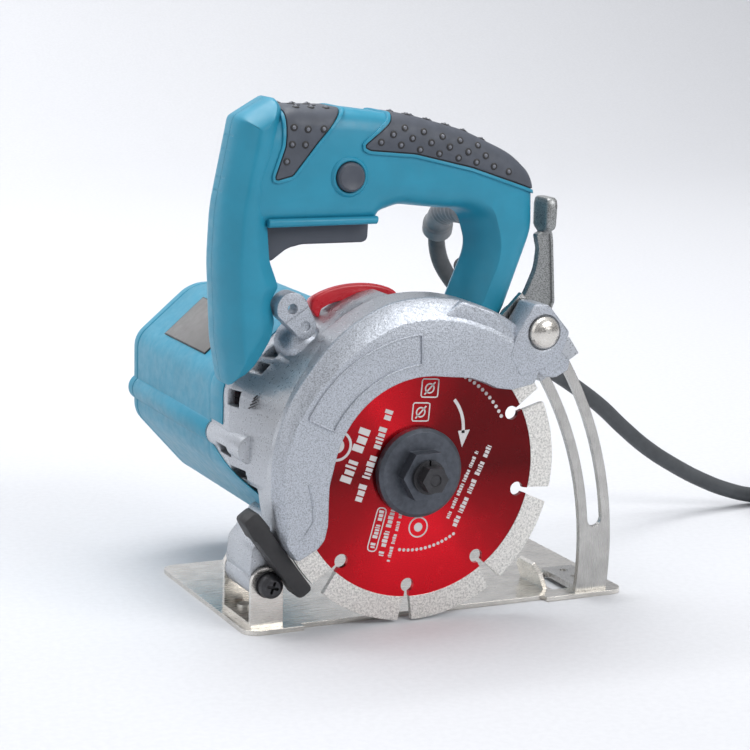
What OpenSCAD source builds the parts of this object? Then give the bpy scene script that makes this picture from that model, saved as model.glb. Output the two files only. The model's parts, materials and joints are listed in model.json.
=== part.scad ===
// Hand-held marble cutter with a 125 mm diamond blade, a tilting base and a D handle.
// Millimetres. X runs along the cut (front is -X), Y from the blade towards the motor, Z up.
// The origin lies on the underside of the base, below the spindle, in the handle's parting plane.

/* [Base plate] */
// Distance from the spindle to the front end of the base
base_front = 72; // [70:1:76]
// Distance from the spindle to the rear end of the base
base_rear = 103; // [100:1:110]
// Width of the base plate
base_width = 101.5; // [96:0.5:108]
// Thickness of the base plate and of its folded brackets
plate_t = 2; // [1.6:0.1:2]

/* [Blade] */
// Diameter of the diamond blade
blade_d = 125; // [115:1:125]
// Diameter of the blade's bore
blade_bore = 22.2; // [20:0.1:22.2]
// Number of diamond segments
segment_count = 9; // [6:1:12]

/* [Drive] */
// Gear module
gear_module = 1.25; // [1.2:0.05:1.25]
// Teeth on the armature pinion
pinion_teeth = 12; // [12:1:12]
// Teeth on the spindle gear
gear_teeth = 30; // [30:1:30]
// Number of fan blades
fan_blades = 12; // [8:1:16]

/* [Housing] */
// Width of the motor housing
motor_w = 94; // [92:1:95]
// Height of the motor housing
motor_h = 88; // [86:1:89]
// Wall of the plastic motor housing
motor_wall = 2.6; // [2:0.1:3]
// Outside radius of the blade guard
guard_r = 72; // [70:0.5:72]

/* [Handle] */
// Width of the handle across its two halves
handle_w = 33; // [31:1:33]
// Chamfer round the handle's sides
handle_chamfer = 5; // [3:0.5:6]

/* [Cord] */
// Outside diameter of the mains cord
cord_d = 7.5; // [7:0.1:8]

/* [Hidden] */
$fn = 64;
hull_fn = 32;
run_gap = 0.05;      // radial running clearance of shafts and pins
fit_gap = 0.1;       // clearance between fixed neighbours

// Driving places
axle_z = blade_d / 2 + 0.7;
blade_y = -25;
pivot = [-62, 20];
bolt = [52.2, 118.9];
gear_centre = gear_module * (pinion_teeth + gear_teeth) / 2;
motor = [gear_centre * cos(150), axle_z + gear_centre * sin(150)];

// Stations along Y
guard_y0 = -34;
guard_y1 = -15;
casting_y1 = 25;
housing_y1 = 118;
cover_y1 = 130;

// Base bracket, guide and clamp
ear_near = -19;
ear_far = 10;
ear_r = 7;
pin_r = 3;
guide_r = 151;
guide_w = 15;
guide_y = -19.5;
guide_t = 2.5;
slot_w = 7;
bolt_r = 3;

// Drive line
spindle_r = 6;
shaft_r = 5;
tail_r = 3.5;
flange_r = 18.5;
blade_t = 2;
pilot_r = blade_bore / 2;
gear_y = [-2.5, 7.5];
stack_y = [42, 86];
commutator_y = [95, 109];
commutator_r = 11.5;
rotor_r = 17.5;
stator_r = 30;
brush_y = [97, 107];

// Housing screws, measured from the motor axis
screw_spots = [[31, 27], [-31, 27], [29, -26], [-29, -26]];
cover_screws = [[0, 38.5], [0, -38.5]];

// Handle pucks: x, z and radius of each round that the handle is hulled from
tip = [-60, 200, 12.5];
crown = [-16, 195.5, 12.5];
heel = [-55, 174, 11];
palm = [-18, 174, 11];
knuckle = [0, 186.5, 19];
bend = [40, 178.5, 12];
elbow = [44, 165, 13.5];
wrist = [45.5, 153, 12];
rear_foot = [22, 104, 11.5];
front_leg = [-69.5, 150, 10.5];
front_foot = [-66, 110, 11];
trigger_pin_at = [-17.5, 166.5];
button_at = [-28, 182.5];
handle_screw_spots = [[-69, 146], [-62, 199], [-6, 192], [40, 176], [38, 140]];

// Cord route from the strain relief to the coil, and from the coil to the plug
relief_route = [[41, 13, 163], [41, 22, 163], [41, 31, 162], [41.5, 39, 159.5], [43, 46, 155.5],
    [45, 51.5, 150]];
cord_route = [[45, 51.5, 150], [49, 59, 141], [56, 66, 130.5], [67, 71, 119], [80, 75, 107.5],
    [94, 79, 96.5], [109, 82, 86], [124, 85, 76], [139, 87, 66.5], [154, 89, 56], [168, 90, 44],
    [182, 90.5, 33], [197, 90, 23.5], [213, 89, 15], [229, 88, 8.5], [245, 88, 4.5],
    [261, 89, 3.8], [276, 89.6, 3.8]];
coil_centre = [290, 43];
coil_lane = 43;      // mean radius of the coil
coil_lanes = 2;      // turns side by side
coil_layers = 4;     // turns on top of each other
tail_route = [[336.7, 42.5, 26.3], [336.9, 34, 26.2], [338.3, 25, 24.9], [341, 16, 21],
    [344, 7, 15.4], [346, -2, 10.2], [346.8, -12, 7.2], [347, -22, 6.5]];
plug_at = [347, -22, 6.5];

// ---- Shape helpers ----

// A 2D shape in X and Z, extruded from y0 to y1
module slab(y0, y1) { translate([0, y1, 0]) rotate([90, 0, 0]) linear_extrude(y1 - y0) children(); }

// A cylinder along Y
module rod(at, r, y0, y1) { slab(y0, y1) translate(at) circle(r = r); }

// A hexagonal prism along Y, across_flats wide, with its corners along X
module hex_rod(at, across_flats, y0, y1) {
    slab(y0, y1) translate(at) circle(r = across_flats / sqrt(3), $fn = 6);
}

// A profile of radius and Y turned about an axis along Y
module turned(at, profile) {
    translate([at[0], 0, at[1]]) rotate([-90, 0, 0]) rotate_extrude() polygon(profile);
}

function arc(c, r, a0, a1, n) =
    [for (i = [0:n]) let (a = a0 + (a1 - a0) * i / n) [c[0] + r * cos(a), c[1] + r * sin(a)]];
function polar(c, r, a) = [c[0] + r * cos(a), c[1] + r * sin(a)];

// A ring sector in X and Z
module sector(c, r0, r1, a0, a1, n = 24) {
    polygon(concat(arc(c, r1, a0, a1, n), arc(c, r0, a1, a0, n)));
}

// A curved slot with round ends
module round_slot(c, r, half, a0, a1) {
    polygon(concat(arc(c, r + half, a0, a1, 48), arc(polar(c, r, a1), half, a1 + 15, a1 + 165, 10),
        arc(c, r - half, a1, a0, 48), arc(polar(c, r, a0), half, a0 + 195, a0 + 345, 10)));
}

// Involute gear outline: half angle of a tooth at radius r, then the whole outline
function roll(rb, r) = let (a = acos(min(1, rb / r))) tan(a) * 180 / PI - a;
function tooth_half(z, m, slack, rb, r) =
    90 / z - slack / (m * z) * 180 / PI + roll(rb, m * z / 2) - roll(rb, max(r, rb));
function gear_outline(z, m, tip, slack) =
    let (rb = m * z / 2 * cos(20), root = m * z / 2 - 1.3 * m,
         rs = [root, rb, (rb * 2 + tip) / 3, (rb + tip * 2) / 3, tip])
    [for (k = [0:z - 1], side = [-1, 1], i = [0:4])
        let (r = rs[side < 0 ? i : 4 - i])
        polar([0, 0], r, k * 360 / z + side * tooth_half(z, m, slack, rb, r))];

// A tube swept along a route, with a radius for each point
function unit(v) = v / norm(v);
function heading(p, i) = unit(p[min(i + 1, len(p) - 1)] - p[max(i - 1, 0)]);
function ring(c, t, r, sides, up) =
    let (side = unit(cross(t, up)), rise = cross(side, t))
    [for (k = [0:sides - 1]) c + r * (side * cos(360 * k / sides) + rise * sin(360 * k / sides))];
module tube(route, r0, r1, sides = 10, up = [0, 0, 1]) {
    n = len(route);
    points = [for (i = [0:n - 1])
        each ring(route[i], heading(route, i), r0 + (r1 - r0) * i / (n - 1), sides, up)];
    walls = [for (i = [0:n - 2], k = [0:sides - 1])
        let (a = i * sides + k, b = i * sides + (k + 1) % sides) [a, b, b + sides, a + sides]];
    caps = [[for (k = [sides - 1:-1:0]) k], [for (k = [0:sides - 1]) (n - 1) * sides + k]];
    polyhedron(points, concat(walls, caps));
}

// ---- Base body ----

module base_outline() {
    y0 = blade_y + 2.5;
    y1 = y0 + base_width;
    corner = 6;
    difference() {
        polygon(concat(
            arc([-base_front + corner, y0 + corner], corner, 180, 270, 6),
            arc([base_rear - corner, y0 + corner], corner, 270, 360, 6),
            arc([base_rear - corner, y1 - corner], corner, 0, 90, 6),
            arc([-base_front + corner, y1 - corner], corner, 90, 180, 6)));
        translate([-47, y0 - 1]) square([112, 4.5]);
    }
}

module base_plate() color([0.80, 0.78, 0.74]) {
    tab_x = 70;
    tab_lean = 20;
    difference() {
        linear_extrude(plate_t) base_outline();
        for (y = [-13, 5]) translate([pivot[0], y, -1]) cylinder(r = 2, h = 5);
        translate([tab_x + 3, -13, -1]) cube([11, 24, 5]);
    }
    // Guide tab bent up from the plate, leaning towards the front
    translate([tab_x, 0, 0]) rotate([0, -tab_lean, 0]) rotate([90, 0, 90])
        linear_extrude(plate_t) polygon([[-11, 0], [9, 0], [9, 9], [5, 13], [-7, 13], [-11, 9]]);
    translate([tab_x - 1, -11, 0]) cube([4, 20, plate_t]);
}

module pivot_bracket() color([0.82, 0.80, 0.76]) {
    difference() {
        union() {
            for (y = [ear_near, ear_far]) slab(y, y + plate_t) {
                translate(pivot) circle(r = ear_r);
                translate([pivot[0] - ear_r, plate_t]) square([2 * ear_r, pivot[1] - plate_t]);
            }
            translate([pivot[0] - ear_r, ear_near, plate_t])
                cube([2 * ear_r, ear_far + plate_t - ear_near, plate_t]);
        }
        rod(pivot, pin_r + run_gap, ear_near - 1, ear_far + plate_t + 1);
        for (y = [-13, 5]) translate([pivot[0], y, plate_t - 1]) cylinder(r = 2, h = 5);
    }
}

module bracket_rivets() color([0.72, 0.71, 0.68]) {
    for (y = [-13, 5]) translate([pivot[0], y, 0]) {
        cylinder(r = 1.95, h = 2 * plate_t);
        translate([0, 0, 2 * plate_t]) cylinder(r = 3.2, h = 1.2);
    }
}

module arc_guide() color([0.82, 0.80, 0.76]) {
    foot_x = pivot[0] + guide_r - guide_w / 2 - 1;
    slab(guide_y, guide_y + guide_t) difference() {
        intersection() {
            sector(pivot, guide_r - guide_w / 2, guide_r + guide_w / 2, -10, 45.5, 60);
            translate([0, plate_t]) square([200, 200]);
        }
        round_slot(pivot, guide_r, slot_w / 2, 5.2, 41.6);
    }
    difference() {
        translate([foot_x, guide_y, plate_t]) cube([guide_w, 30, guide_t]);
        for (y = [-6, 4]) translate([foot_x + guide_w / 2, y, plate_t + guide_t - 0.6])
            cylinder(r = 1.8, h = 1);
    }
}

module pivot_screw() color([0.16, 0.16, 0.17]) {
    head_y = ear_near - 3.2;
    difference() {
        union() {
            rod(pivot, pin_r, head_y, ear_far + 10);
            turned(pivot, [[0, head_y - 3], [3.2, head_y - 3], [4.6, head_y - 2], [5, head_y],
                [0, head_y]]);
        }
        for (turn = [0, 90]) translate([pivot[0], head_y - 3.5, pivot[1]]) rotate([0, turn + 20, 0])
            translate([-2.6, 0, -0.6]) cube([5.2, 2.4, 1.2]);
    }
}

module pivot_washers() color([0.20, 0.20, 0.21]) {
    difference() {
        union() {
            rod(pivot, 5.4, ear_near - 1.2, ear_near);
            rod(pivot, 4.8, ear_near - 3.2, ear_near - 1.4);
        }
        rod(pivot, pin_r + run_gap, ear_near - 5, ear_near + 1);
        translate([pivot[0] - 0.4, ear_near - 3.3, pivot[1]]) cube([0.8, 1.95, 8]);
    }
}

module pivot_nut() color([0.72, 0.71, 0.68]) {
    y = ear_far + plate_t;
    difference() {
        hex_rod(pivot, 10, y, y + 5);
        rod(pivot, pin_r + run_gap, y - 1, y + 6);
    }
}

// ---- Castings ----

guard_a0 = 33;
guard_a1 = 207;

// Window curve of the guard's front plate, from its rear end round to its front end
function guard_front() = let (c = [0, axle_z]) concat(
    arc(c, guard_r - 2, 37, guard_a1 + 4, 48),
    [[-56.5, 31], [-46.1, 36.5], [-43.2, 40], [-42, 45], [-41.7, 63.1]],
    arc(c, 40, 170, 78, 20),
    [[19, 101.6], [26, 98.9], [31.4, 96.2], [38.5, 95.4], [49, 97.6]]);

module guard_ear_outline() {
    polygon([[36, 112], [41, 124], [48, 130.8], [54.5, 129.8], [64, 119], [62, 111], [54, 105],
        [44, 103]]);
}

module guard_screw_spots() {
    for (a = [75, 120, 165]) translate(polar([0, axle_z], 28 + (a == 75 ? 6 : 18), a)) children();
}

module blade_guard() color([0.76, 0.77, 0.79]) {
    c = [0, axle_z];
    front_t = 3;
    back_t = 3;
    lug_r0 = guide_r - guide_w / 2 - 0.9;
    lug_r1 = guide_r + guide_w / 2 + 0.9;
    difference() {
        union() {
            // Front plate with a chamfered rim
            slab(guard_y0, guard_y0 + front_t) polygon(guard_front());
            slab(guard_y0 + front_t - 0.5, guard_y1) sector(c, guard_r - 3, guard_r, guard_a0, guard_a1, 48);
            // Back plate with the ring that centres on the gear housing
            slab(guard_y1 - back_t, guard_y1) {
                sector(c, 20, guard_r - 1, guard_a0, guard_a1, 48);
                translate(c) circle(r = 23);
            }
            // Raised blank panel on the face
            slab(guard_y0 - 0.8, guard_y0 + 0.5) sector(c, 45, 61, 88, 146, 20);
            // Swelling beside the clamp, then the ear of the carriage bolt and the guide lug
            slab(guard_y0 + 2, guard_y1) sector(c, guard_r - 4, guard_r + 3, 52, 66, 8);
            slab(guard_y0, -21) guard_ear_outline();
            slab(-21.5, guard_y1) intersection() {
                guard_ear_outline();
                difference() { square([200, 200]); translate(pivot) circle(r = lug_r0); }
            }
            slab(-24, guard_y1) sector(pivot, lug_r0 - 2.5, lug_r1 + 2.5, 33.5, 37.5, 6);
        }
        // Seat of the gear housing's nose, the guide's channel, bolt and screw holes
        rod(c, 19.6 + fit_gap, guard_y1 - 4, guard_y1 + 1);
        slab(guide_y - 0.4, guard_y1 + 1) sector(pivot, lug_r0, lug_r1, 28, 56, 30);
        slab(guard_y0 + front_t, guard_y1 - back_t) translate(c) circle(r = guard_r - 3);
        rod(bolt, bolt_r + run_gap, guard_y0 - 1, guard_y1 + 1);
        slab(guard_y1 - 4, guard_y1 + 1) guard_screw_spots() circle(r = 2.1);
        rod(pivot, ear_r + 1.2, guide_y - 0.6, guard_y1 + 1);
        flap_shape(0.2);
    }
}

module guard_screws() color([0.72, 0.71, 0.68]) {
    slab(guard_y1 - 3, guard_y1 + 3) guard_screw_spots() circle(r = 2);
    slab(guard_y1 - 5.4, guard_y1 - 3) guard_screw_spots() circle(r = 3.6);
}

// Motor outline, shrunk by inset: a full upper half and a rounder lower half
function body_point(a, inset) = let (n = sin(a) > 0 ? 2.5 : 2.05, x = motor_w / 2 - inset,
    z = motor_h / 2 - inset) [motor[0] + x * sign(cos(a)) * pow(abs(cos(a)), 2 / n),
    motor[1] + z * sign(sin(a)) * pow(abs(sin(a)), 2 / n)];
module body_outline(inset = 0) { polygon([for (i = [0:71]) body_point(i * 5 + 2.5, inset)]); }
module ridge_outline(inset = 0) { translate([-65.6, 73.5]) circle(r = 6 - inset); }

module casting_outline(inset = 0) {
    body_outline(inset);
    ridge_outline(inset);
    sector([0, axle_z], 20, guard_r - 2 - inset, 97 + inset / 2, 207 - inset, 40);
}

// Bearing bosses on the spindle and the motor axis
module boss_outline() {
    translate([0, axle_z]) circle(r = 23.3);
    translate(motor) circle(r = 16);
}

module gear_housing() color([0.70, 0.71, 0.73]) {
    c = [0, axle_z];
    wall = 3;
    nose_y = -18.5;
    partition = [8.5, 18];
    difference() {
        union() {
            difference() {
                slab(guard_y1, casting_y1) casting_outline();
                slab(guard_y1 + wall, casting_y1 + 1) difference() {
                    casting_outline(wall);
                    boss_outline();
                }
                slab(partition[1], casting_y1 + 1) casting_outline(wall);
                // Exhaust vents: window, two notches and the three steps below the ridge
                translate([-76, 14, 86]) cube([20, 12, 8]);
                for (z = [104, 111]) translate([-76, 21, z]) cube([40, 5, 3.5]);
                for (i = [0:2]) translate([-76 + 5 * i, 17 + 1.5 * i, 60 - 9.5 * i])
                    cube([22, 10, 5]);
            }
            slab(guard_y1, partition[1]) boss_outline();
            rod(c, 19.6, nose_y, guard_y1 + 1);
            // Arm and pivot boss that turns between the bracket's ears
            slab(ear_near + plate_t + 0.4, ear_far - 0.4) {
                polygon([[-68.5, 22], [-69, 44], [-50, 46], [-55.5, 17.5]]);
                translate(pivot) circle(r = ear_r - 0.2);
            }
            // Lug that holds the handle, with a blind hole below its screw hole
            slab(-17, -10) {
                translate([-52, 131]) circle(r = 6.5);
                polygon([[-58.2, 129], [-51.4, 108], [-40, 113], [-46, 133]]);
            }
            for (s = screw_spots) rod(motor + s, 4.4, guard_y1 + 1, casting_y1);
        }
        // Room for the guard in front of the face
        slab(ear_near, guard_y1) difference() {
            translate(c) circle(r = guard_r + 0.3);
            translate(c) circle(r = 19.6);
            translate(pivot) circle(r = ear_r + 1.1);
        }
        rod(c, 16 + fit_gap / 2, nose_y + 4.5, -4);
        rod(c, 12, nose_y - 1, nose_y + 5);
        rod(c, 20.7, -4.1, partition[0]);
        rod(motor, 10.5, -4.1, partition[0]);
        rod(c, 11 + fit_gap / 2, partition[0] - 0.1, 15.6);
        rod(motor, 13 + fit_gap / 2, partition[0] + 1.5, partition[1] + 1);
        rod(motor, 7, partition[0] - 1, partition[1]);
        rod(pivot, pin_r + run_gap, -30, 30);
        rod([-52, 131], 2, -20, -9);
        rod([-47.5, 121], 1.8, -17.5, -13);
        slab(guard_y1 - 1, guard_y1 + 6) guard_screw_spots() circle(r = 2.05);
        for (s = screw_spots) rod(motor + s, 2.05, 8, casting_y1 + 1);
    }
}

// ---- Motor housing ----

module motor_housing() color([0.22, 0.50, 0.56]) {
    difference() {
        union() {
            difference() {
                slab(casting_y1, housing_y1) { body_outline(); ridge_outline(); }
                slab(casting_y1 - 1, housing_y1 + 1) { body_outline(motor_wall); ridge_outline(motor_wall); }
            }
            // Screw bosses, stator ribs and the rear bearing spider
            slab(casting_y1, 110) intersection() {
                body_outline(1);
                for (s = screw_spots) translate(motor) rotate(atan2(s[1], s[0])) {
                    translate([norm(s), 0]) circle(r = 4.4);
                    translate([norm(s), -2]) square([14, 4]);
                }
            }
            slab(44, 84) intersection() {
                body_outline(1);
                difference() {
                    for (a = [0, 90, 180, 270]) translate(motor) rotate(a + 20) square([60, 4]);
                    translate(motor) circle(r = stator_r + fit_gap);
                }
            }
            slab(110.5, 116.5) intersection() {
                body_outline(1);
                union() {
                    translate(motor) circle(r = 13);
                    for (a = [45:90:315]) translate(motor) rotate(a) translate([0, -4]) square([60, 8]);
                }
            }
        }
        for (s = screw_spots) rod(motor + s, 2.1, casting_y1 - 1, 117);
        for (s = screw_spots) rod(motor + s, 4, 110, 117);
        rod(motor, 9.5 + fit_gap / 2, 110, 117);
        for (s = cover_screws) rod(motor + s, 1.5, 104, 119);
    }
    // Posts of the rear cover's screws
    difference() {
        for (s = cover_screws) rod(motor + s, 3.8, 100, housing_y1);
        for (s = cover_screws) rod(motor + s, 1.5, 104, 119);
    }
}

module housing_screws() color([0.72, 0.71, 0.68]) {
    for (s = screw_spots) {
        rod(motor + s, 2, 9, 110);
        rod(motor + s, 3.8, 110, 113);
    }
}

module rear_cover() color([0.20, 0.47, 0.53]) {
    flat_y = cover_y1 - 8;
    difference() {
        union() {
            slab(housing_y1, flat_y) { body_outline(); ridge_outline(); }
            hull() {
                slab(flat_y - 0.1, flat_y) body_outline();
                slab(cover_y1 - 2.5, cover_y1 - 2.4) body_outline(5);
                slab(cover_y1 - 0.1, cover_y1) body_outline(9.5);
            }
        }
        slab(housing_y1 - 1, flat_y) { body_outline(motor_wall); ridge_outline(motor_wall); }
        slab(flat_y - 1, cover_y1 - 2.6) body_outline(12);
        // Air inlet slots
        for (i = [-3:3]) translate([motor[0] + i * 8 - 1.5, cover_y1 - 4, motor[1] - 18])
            cube([3, 6, 36]);
        for (s = cover_screws) rod(motor + s, 1.6, housing_y1 - 1, cover_y1 + 1);
        for (s = cover_screws) rod(motor + s, 3.4, 124, cover_y1 + 1);
    }
    difference() {
        for (s = cover_screws) rod(motor + s, 3.4, housing_y1, 124);
        for (s = cover_screws) rod(motor + s, 1.6, housing_y1 - 1, 125);
    }
}

module rear_cover_screws() color([0.25, 0.25, 0.26]) {
    for (s = cover_screws) {
        rod(motor + s, 1.45, 106, 124);
        rod(motor + s, 2.8, 124, 126);
    }
}

// Blank rating plate that follows the upper front slope of the housing
module nameplate() color([0.45, 0.45, 0.46]) {
    slab(58, 104) intersection() {
        difference() { body_outline(-0.4); body_outline(0); }
        polygon([motor, polar(motor, 80, 116), polar(motor, 80, 150)]);
    }
}

// Red visor that turns the exhaust air away from the handle
module exhaust_deflector() color([0.80, 0.10, 0.14]) {
    c = [-16, 103];
    r = 33;
    slab(4, 20) difference() {
        sector(c, r - 2.6, r, 50, 131, 20);
        casting_outline(-fit_gap);
    }
    slab(4, 6.5) difference() {
        sector(c, 10, r - 2, 50, 131, 20);
        casting_outline(-fit_gap);
    }
}

// Rubber flap in front of the guard
module flap_shape(grow = 0) {
    translate([-61.1, 0, 34.2]) rotate([0, 54, 0]) {
        translate([-17 - grow, -24.5 - grow, -3 - grow]) cube([40 + 2 * grow, 5 + 2 * grow, 6.5 + 2 * grow]);
        translate([-19 - grow, -25.2 - grow, -4 - grow]) cube([10 + 2 * grow, 6.2 + 2 * grow, 8 + 2 * grow]);
    }
}
module splash_flap() color([0.15, 0.15, 0.16]) { flap_shape(); }

// ---- Depth clamp ----

module carriage_bolt() color([0.80, 0.79, 0.77]) {
    head = guard_y0;
    rod(bolt, bolt_r, head - 0.5, -4);
    turned(bolt, concat([[0, head]], [for (a = [0:15:90]) [6.8 * cos(a), head - 4 * sin(a)]]));
}

module clamp_lever() color([0.62, 0.62, 0.62]) {
    difference() {
        union() {
            rod(bolt, 8, guide_y + guide_t + 0.3, -8);
            slab(-14, -9) polygon([[46, 121], [59.5, 154], [59.5, 158], [66, 158], [65, 153.5],
                [69.5, 126], [60, 114]]);
            slab(-15, -8) polygon([[58.5, 157.5], [57.4, 171], [59.7, 172], [67.9, 169.8],
                [67.3, 157.5]]);
        }
        rod(bolt, bolt_r + run_gap, -20, 0);
    }
    difference() {
        hex_rod(bolt, 11, -8, -5);
        rod(bolt, bolt_r + run_gap, -20, 0);
    }
}

// ---- Handle ----

// One chamfered round across the handle
module puck(p) {
    w = handle_w / 2;
    c = handle_chamfer;
    translate([p[0], 0, p[1]]) rotate([90, 0, 0]) rotate_extrude($fn = hull_fn)
        polygon([[0, -w], [p[2] - c, -w], [p[2], c - w], [p[2], w - c], [p[2] - c, w], [0, w]]);
}
module bar(pucks) { hull() for (p = pucks) puck(p); }

module handle_body() {
    difference() {
        union() {
            bar([tip, crown, heel, palm]);
            bar([tip, front_leg]);
            bar([front_leg, front_foot]);
            bar([crown, knuckle, bend]);
            bar([bend, elbow, wrist]);
            bar([wrist, rear_foot]);
        }
        // The feet sit on the castings
        slab(guard_y1 - 10, casting_y1 + 1) casting_outline(-fit_gap);
        slab(-18, -9.9) {
            translate([-52, 131]) circle(r = 6.7);
            polygon([[-58.4, 129], [-51.6, 107], [-38, 113], [-45.6, 133]]);
        }
        slab(-20, -9.9) translate([5, 90]) square([60, 36]);
        slab(-20, guard_y1 + 0.3) {
            translate([0, axle_z]) circle(r = guard_r + 3.4);
            translate([fit_gap, fit_gap]) guard_ear_outline();
        }
        // Switch chamber, cable channel and the trigger's slot
        slab(-14, 14) translate([-52, 169]) square([42, 20]);
        slab(-4, 4) polygon([[-12, 176], [40, 168], [44, 160], [38, 158], [-12, 170]]);
        slab(-7.6, 7.6) translate([-62, 145]) square([49, 25]);
        rod(trigger_pin_at, 1.5 + run_gap, -12, 12);
        rod(button_at, 5.9, -20, -10);
        // Cord exit and screw holes
        translate([41, 3, 163]) rotate([-90, 0, 0]) cylinder(r = 6.2, h = 20);
        for (s = handle_screw_spots) rod(s, 1.75, -11, 20);
        for (s = handle_screw_spots) rod(s, 3.7, 12.5, 20);
        grip_pockets();
    }
}

function front_grip() = [[-54.5, 207.5], [-27, 206], [-50, 177.5], [-57, 176], [-55, 196]];
function rear_grip() = [[1, 201.5], [-10, 190], [4, 187.8], [22, 183], [47, 174], [44.5, 181],
    [36, 188.5], [20, 195.5]];
module grip_pockets() {
    for (side = [-1, 1]) scale([1, side, 1]) slab(15.8, 19) {
        polygon(front_grip());
        polygon(rear_grip());
    }
}

module handle_shell_blade_side() color([0.27, 0.60, 0.68]) {
    intersection() {
        handle_body();
        translate([-150, -60, 50]) cube([300, 60, 200]);
    }
}
module handle_shell_motor_side() color([0.25, 0.57, 0.65]) {
    intersection() {
        handle_body();
        translate([-150, 0, 50]) cube([300, 60, 200]);
    }
}

module handle_screws() color([0.25, 0.25, 0.26]) {
    for (s = handle_screw_spots) {
        rod(s, 1.7, -10, 12.5);
        rod(s, 3.4, 12.5, 14.5);
    }
}

module grip_pair(outline) {
    for (y = [-17.4, 15.9]) slab(y, y + 1.5) polygon(outline);
}
module front_grip_inserts() color([0.28, 0.29, 0.33]) { grip_pair(front_grip()); }
module rear_grip_inserts() color([0.28, 0.29, 0.33]) { grip_pair(rear_grip()); }

module trigger() color([0.26, 0.27, 0.31]) {
    difference() {
        slab(-7, 7) polygon(concat(
            [[-60, 149.5], [-58.2, 148.6], [-52, 153], [-46, 154.8]],
            arc([-18, 157.2], 2.6, 270, 360, 5),
            [[-15.4, 164], [-14.8, 168.5], [-20, 168.5], [-22, 164.6], [-60, 164.6]]));
        rod(trigger_pin_at, 1.5 + run_gap, -12, 12);
    }
}

module trigger_pin() color([0.72, 0.71, 0.68]) { rod(trigger_pin_at, 1.5, -11, 11); }

module switch_body() color([0.13, 0.13, 0.14]) {
    slab(-9, 9) translate([-50, 171.5]) square([25, 16.5]);
    for (x = [-46, -38, -30]) translate([x, -6, 169.6]) cube([4, 12, 2]);
}

module lock_button() color([0.26, 0.27, 0.31]) {
    rod(button_at, 5.8, -18.6, -13);
    rod(button_at, 6.4, -13.9, -13);
}

// ---- Motor ----

module armature_shaft() color([0.68, 0.68, 0.70]) {
    turned(motor, [[0, 7], [4.6, 7], [5, 7.5], [5, 109.5], [3.5, 109.5], [3.5, 117], [0, 117]]);
    translate([motor[0], gear_y[1], motor[1]]) rotate([90, 0, 0]) linear_extrude(gear_y[1] - gear_y[0])
        rotate(180 / pinion_teeth) polygon(gear_outline(pinion_teeth, gear_module,
            gear_module * (pinion_teeth / 2 + 0.9), 0.2));
}

module rotor_core() color([0.45, 0.45, 0.47]) {
    slab(stack_y[0], stack_y[1]) difference() {
        translate(motor) circle(r = rotor_r);
        translate(motor) circle(r = shaft_r + fit_gap / 2);
        for (a = [0:30:330]) translate(polar(motor, rotor_r - 3, a)) circle(r = 1.9);
        for (a = [0:30:330]) translate(motor) rotate(a) translate([rotor_r - 3, -0.6]) square([5, 1.2]);
    }
}

module rotor_windings() color([0.72, 0.38, 0.18]) {
    difference() {
        union() {
            turned(motor, [[0, 34.5], [12, 34.5], [15.5, 37], [16.4, 41.9], [0, 41.9]]);
            turned(motor, [[0, 86.1], [16.4, 86.1], [15.5, 91], [12, 93.5], [0, 93.5]]);
            slab(41, 87) for (a = [0:30:330]) translate(polar(motor, rotor_r - 3, a)) circle(r = 1.75);
        }
        rod(motor, shaft_r + fit_gap / 2, 30, 100);
    }
}

module commutator() color([0.74, 0.48, 0.28]) {
    slab(commutator_y[0], commutator_y[1]) difference() {
        translate(motor) circle(r = commutator_r);
        translate(motor) circle(r = shaft_r + fit_gap / 2);
        for (i = [0:23]) translate(motor) rotate(i * 15) translate([commutator_r - 0.8, -0.25])
            square([2, 0.5]);
    }
}

module cooling_fan() color([0.12, 0.12, 0.13]) {
    fan_r = 33.5;
    difference() {
        union() {
            rod(motor, 9, 21, 33);
            rod(motor, fan_r, 31.5, 33);
            for (i = [0:fan_blades - 1]) translate([motor[0], 21.5, motor[1]])
                rotate([0, i * 360 / fan_blades, 0]) translate([8, 0, -0.8]) cube([fan_r - 8.5, 10.5, 1.6]);
        }
        rod(motor, shaft_r + fit_gap / 2, 20, 34);
    }
}

// A shielded ball bearing as one turned solid
module bearing(at, r0, r1, y0, y1) {
    m0 = r0 + (r1 - r0) * 0.3;
    m1 = r0 + (r1 - r0) * 0.7;
    turned(at, [[r0, y0], [m0, y0], [m0, y0 + 0.6], [m1, y0 + 0.6], [m1, y0], [r1, y0], [r1, y1],
        [m1, y1], [m1, y1 - 0.6], [m0, y1 - 0.6], [m0, y1], [r0, y1]]);
}
module motor_front_bearing() color([0.60, 0.61, 0.63]) { bearing(motor, shaft_r + run_gap, 13, 10, 18); }
module motor_rear_bearing() color([0.60, 0.61, 0.63]) { bearing(motor, tail_r + run_gap, 9.5, 110.5, 116.5); }

module stator_core() color([0.42, 0.42, 0.44]) {
    slab(stack_y[0], stack_y[1]) difference() {
        translate(motor) circle(r = stator_r);
        translate(motor) circle(r = rotor_r + 0.6);
        for (a = [0, 180]) sector(motor, rotor_r, 25, a - 34, a + 34, 16);
    }
}

module field_coils() color([0.72, 0.36, 0.16]) {
    r0 = rotor_r + 1.6;
    r1 = 24.5;
    for (side = [0, 180]) {
        slab(stack_y[0] - 6, stack_y[0] - 0.2) sector(motor, r0, r1, side + 4, side + 176, 24);
        slab(stack_y[1] + 0.2, stack_y[1] + 6) sector(motor, r0, r1, side + 4, side + 176, 24);
        slab(stack_y[0] - 3, stack_y[1] + 3) {
            sector(motor, r0, r1, side + 4, side + 31, 8);
            sector(motor, r0, r1, side + 149, side + 176, 8);
        }
    }
}

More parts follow.
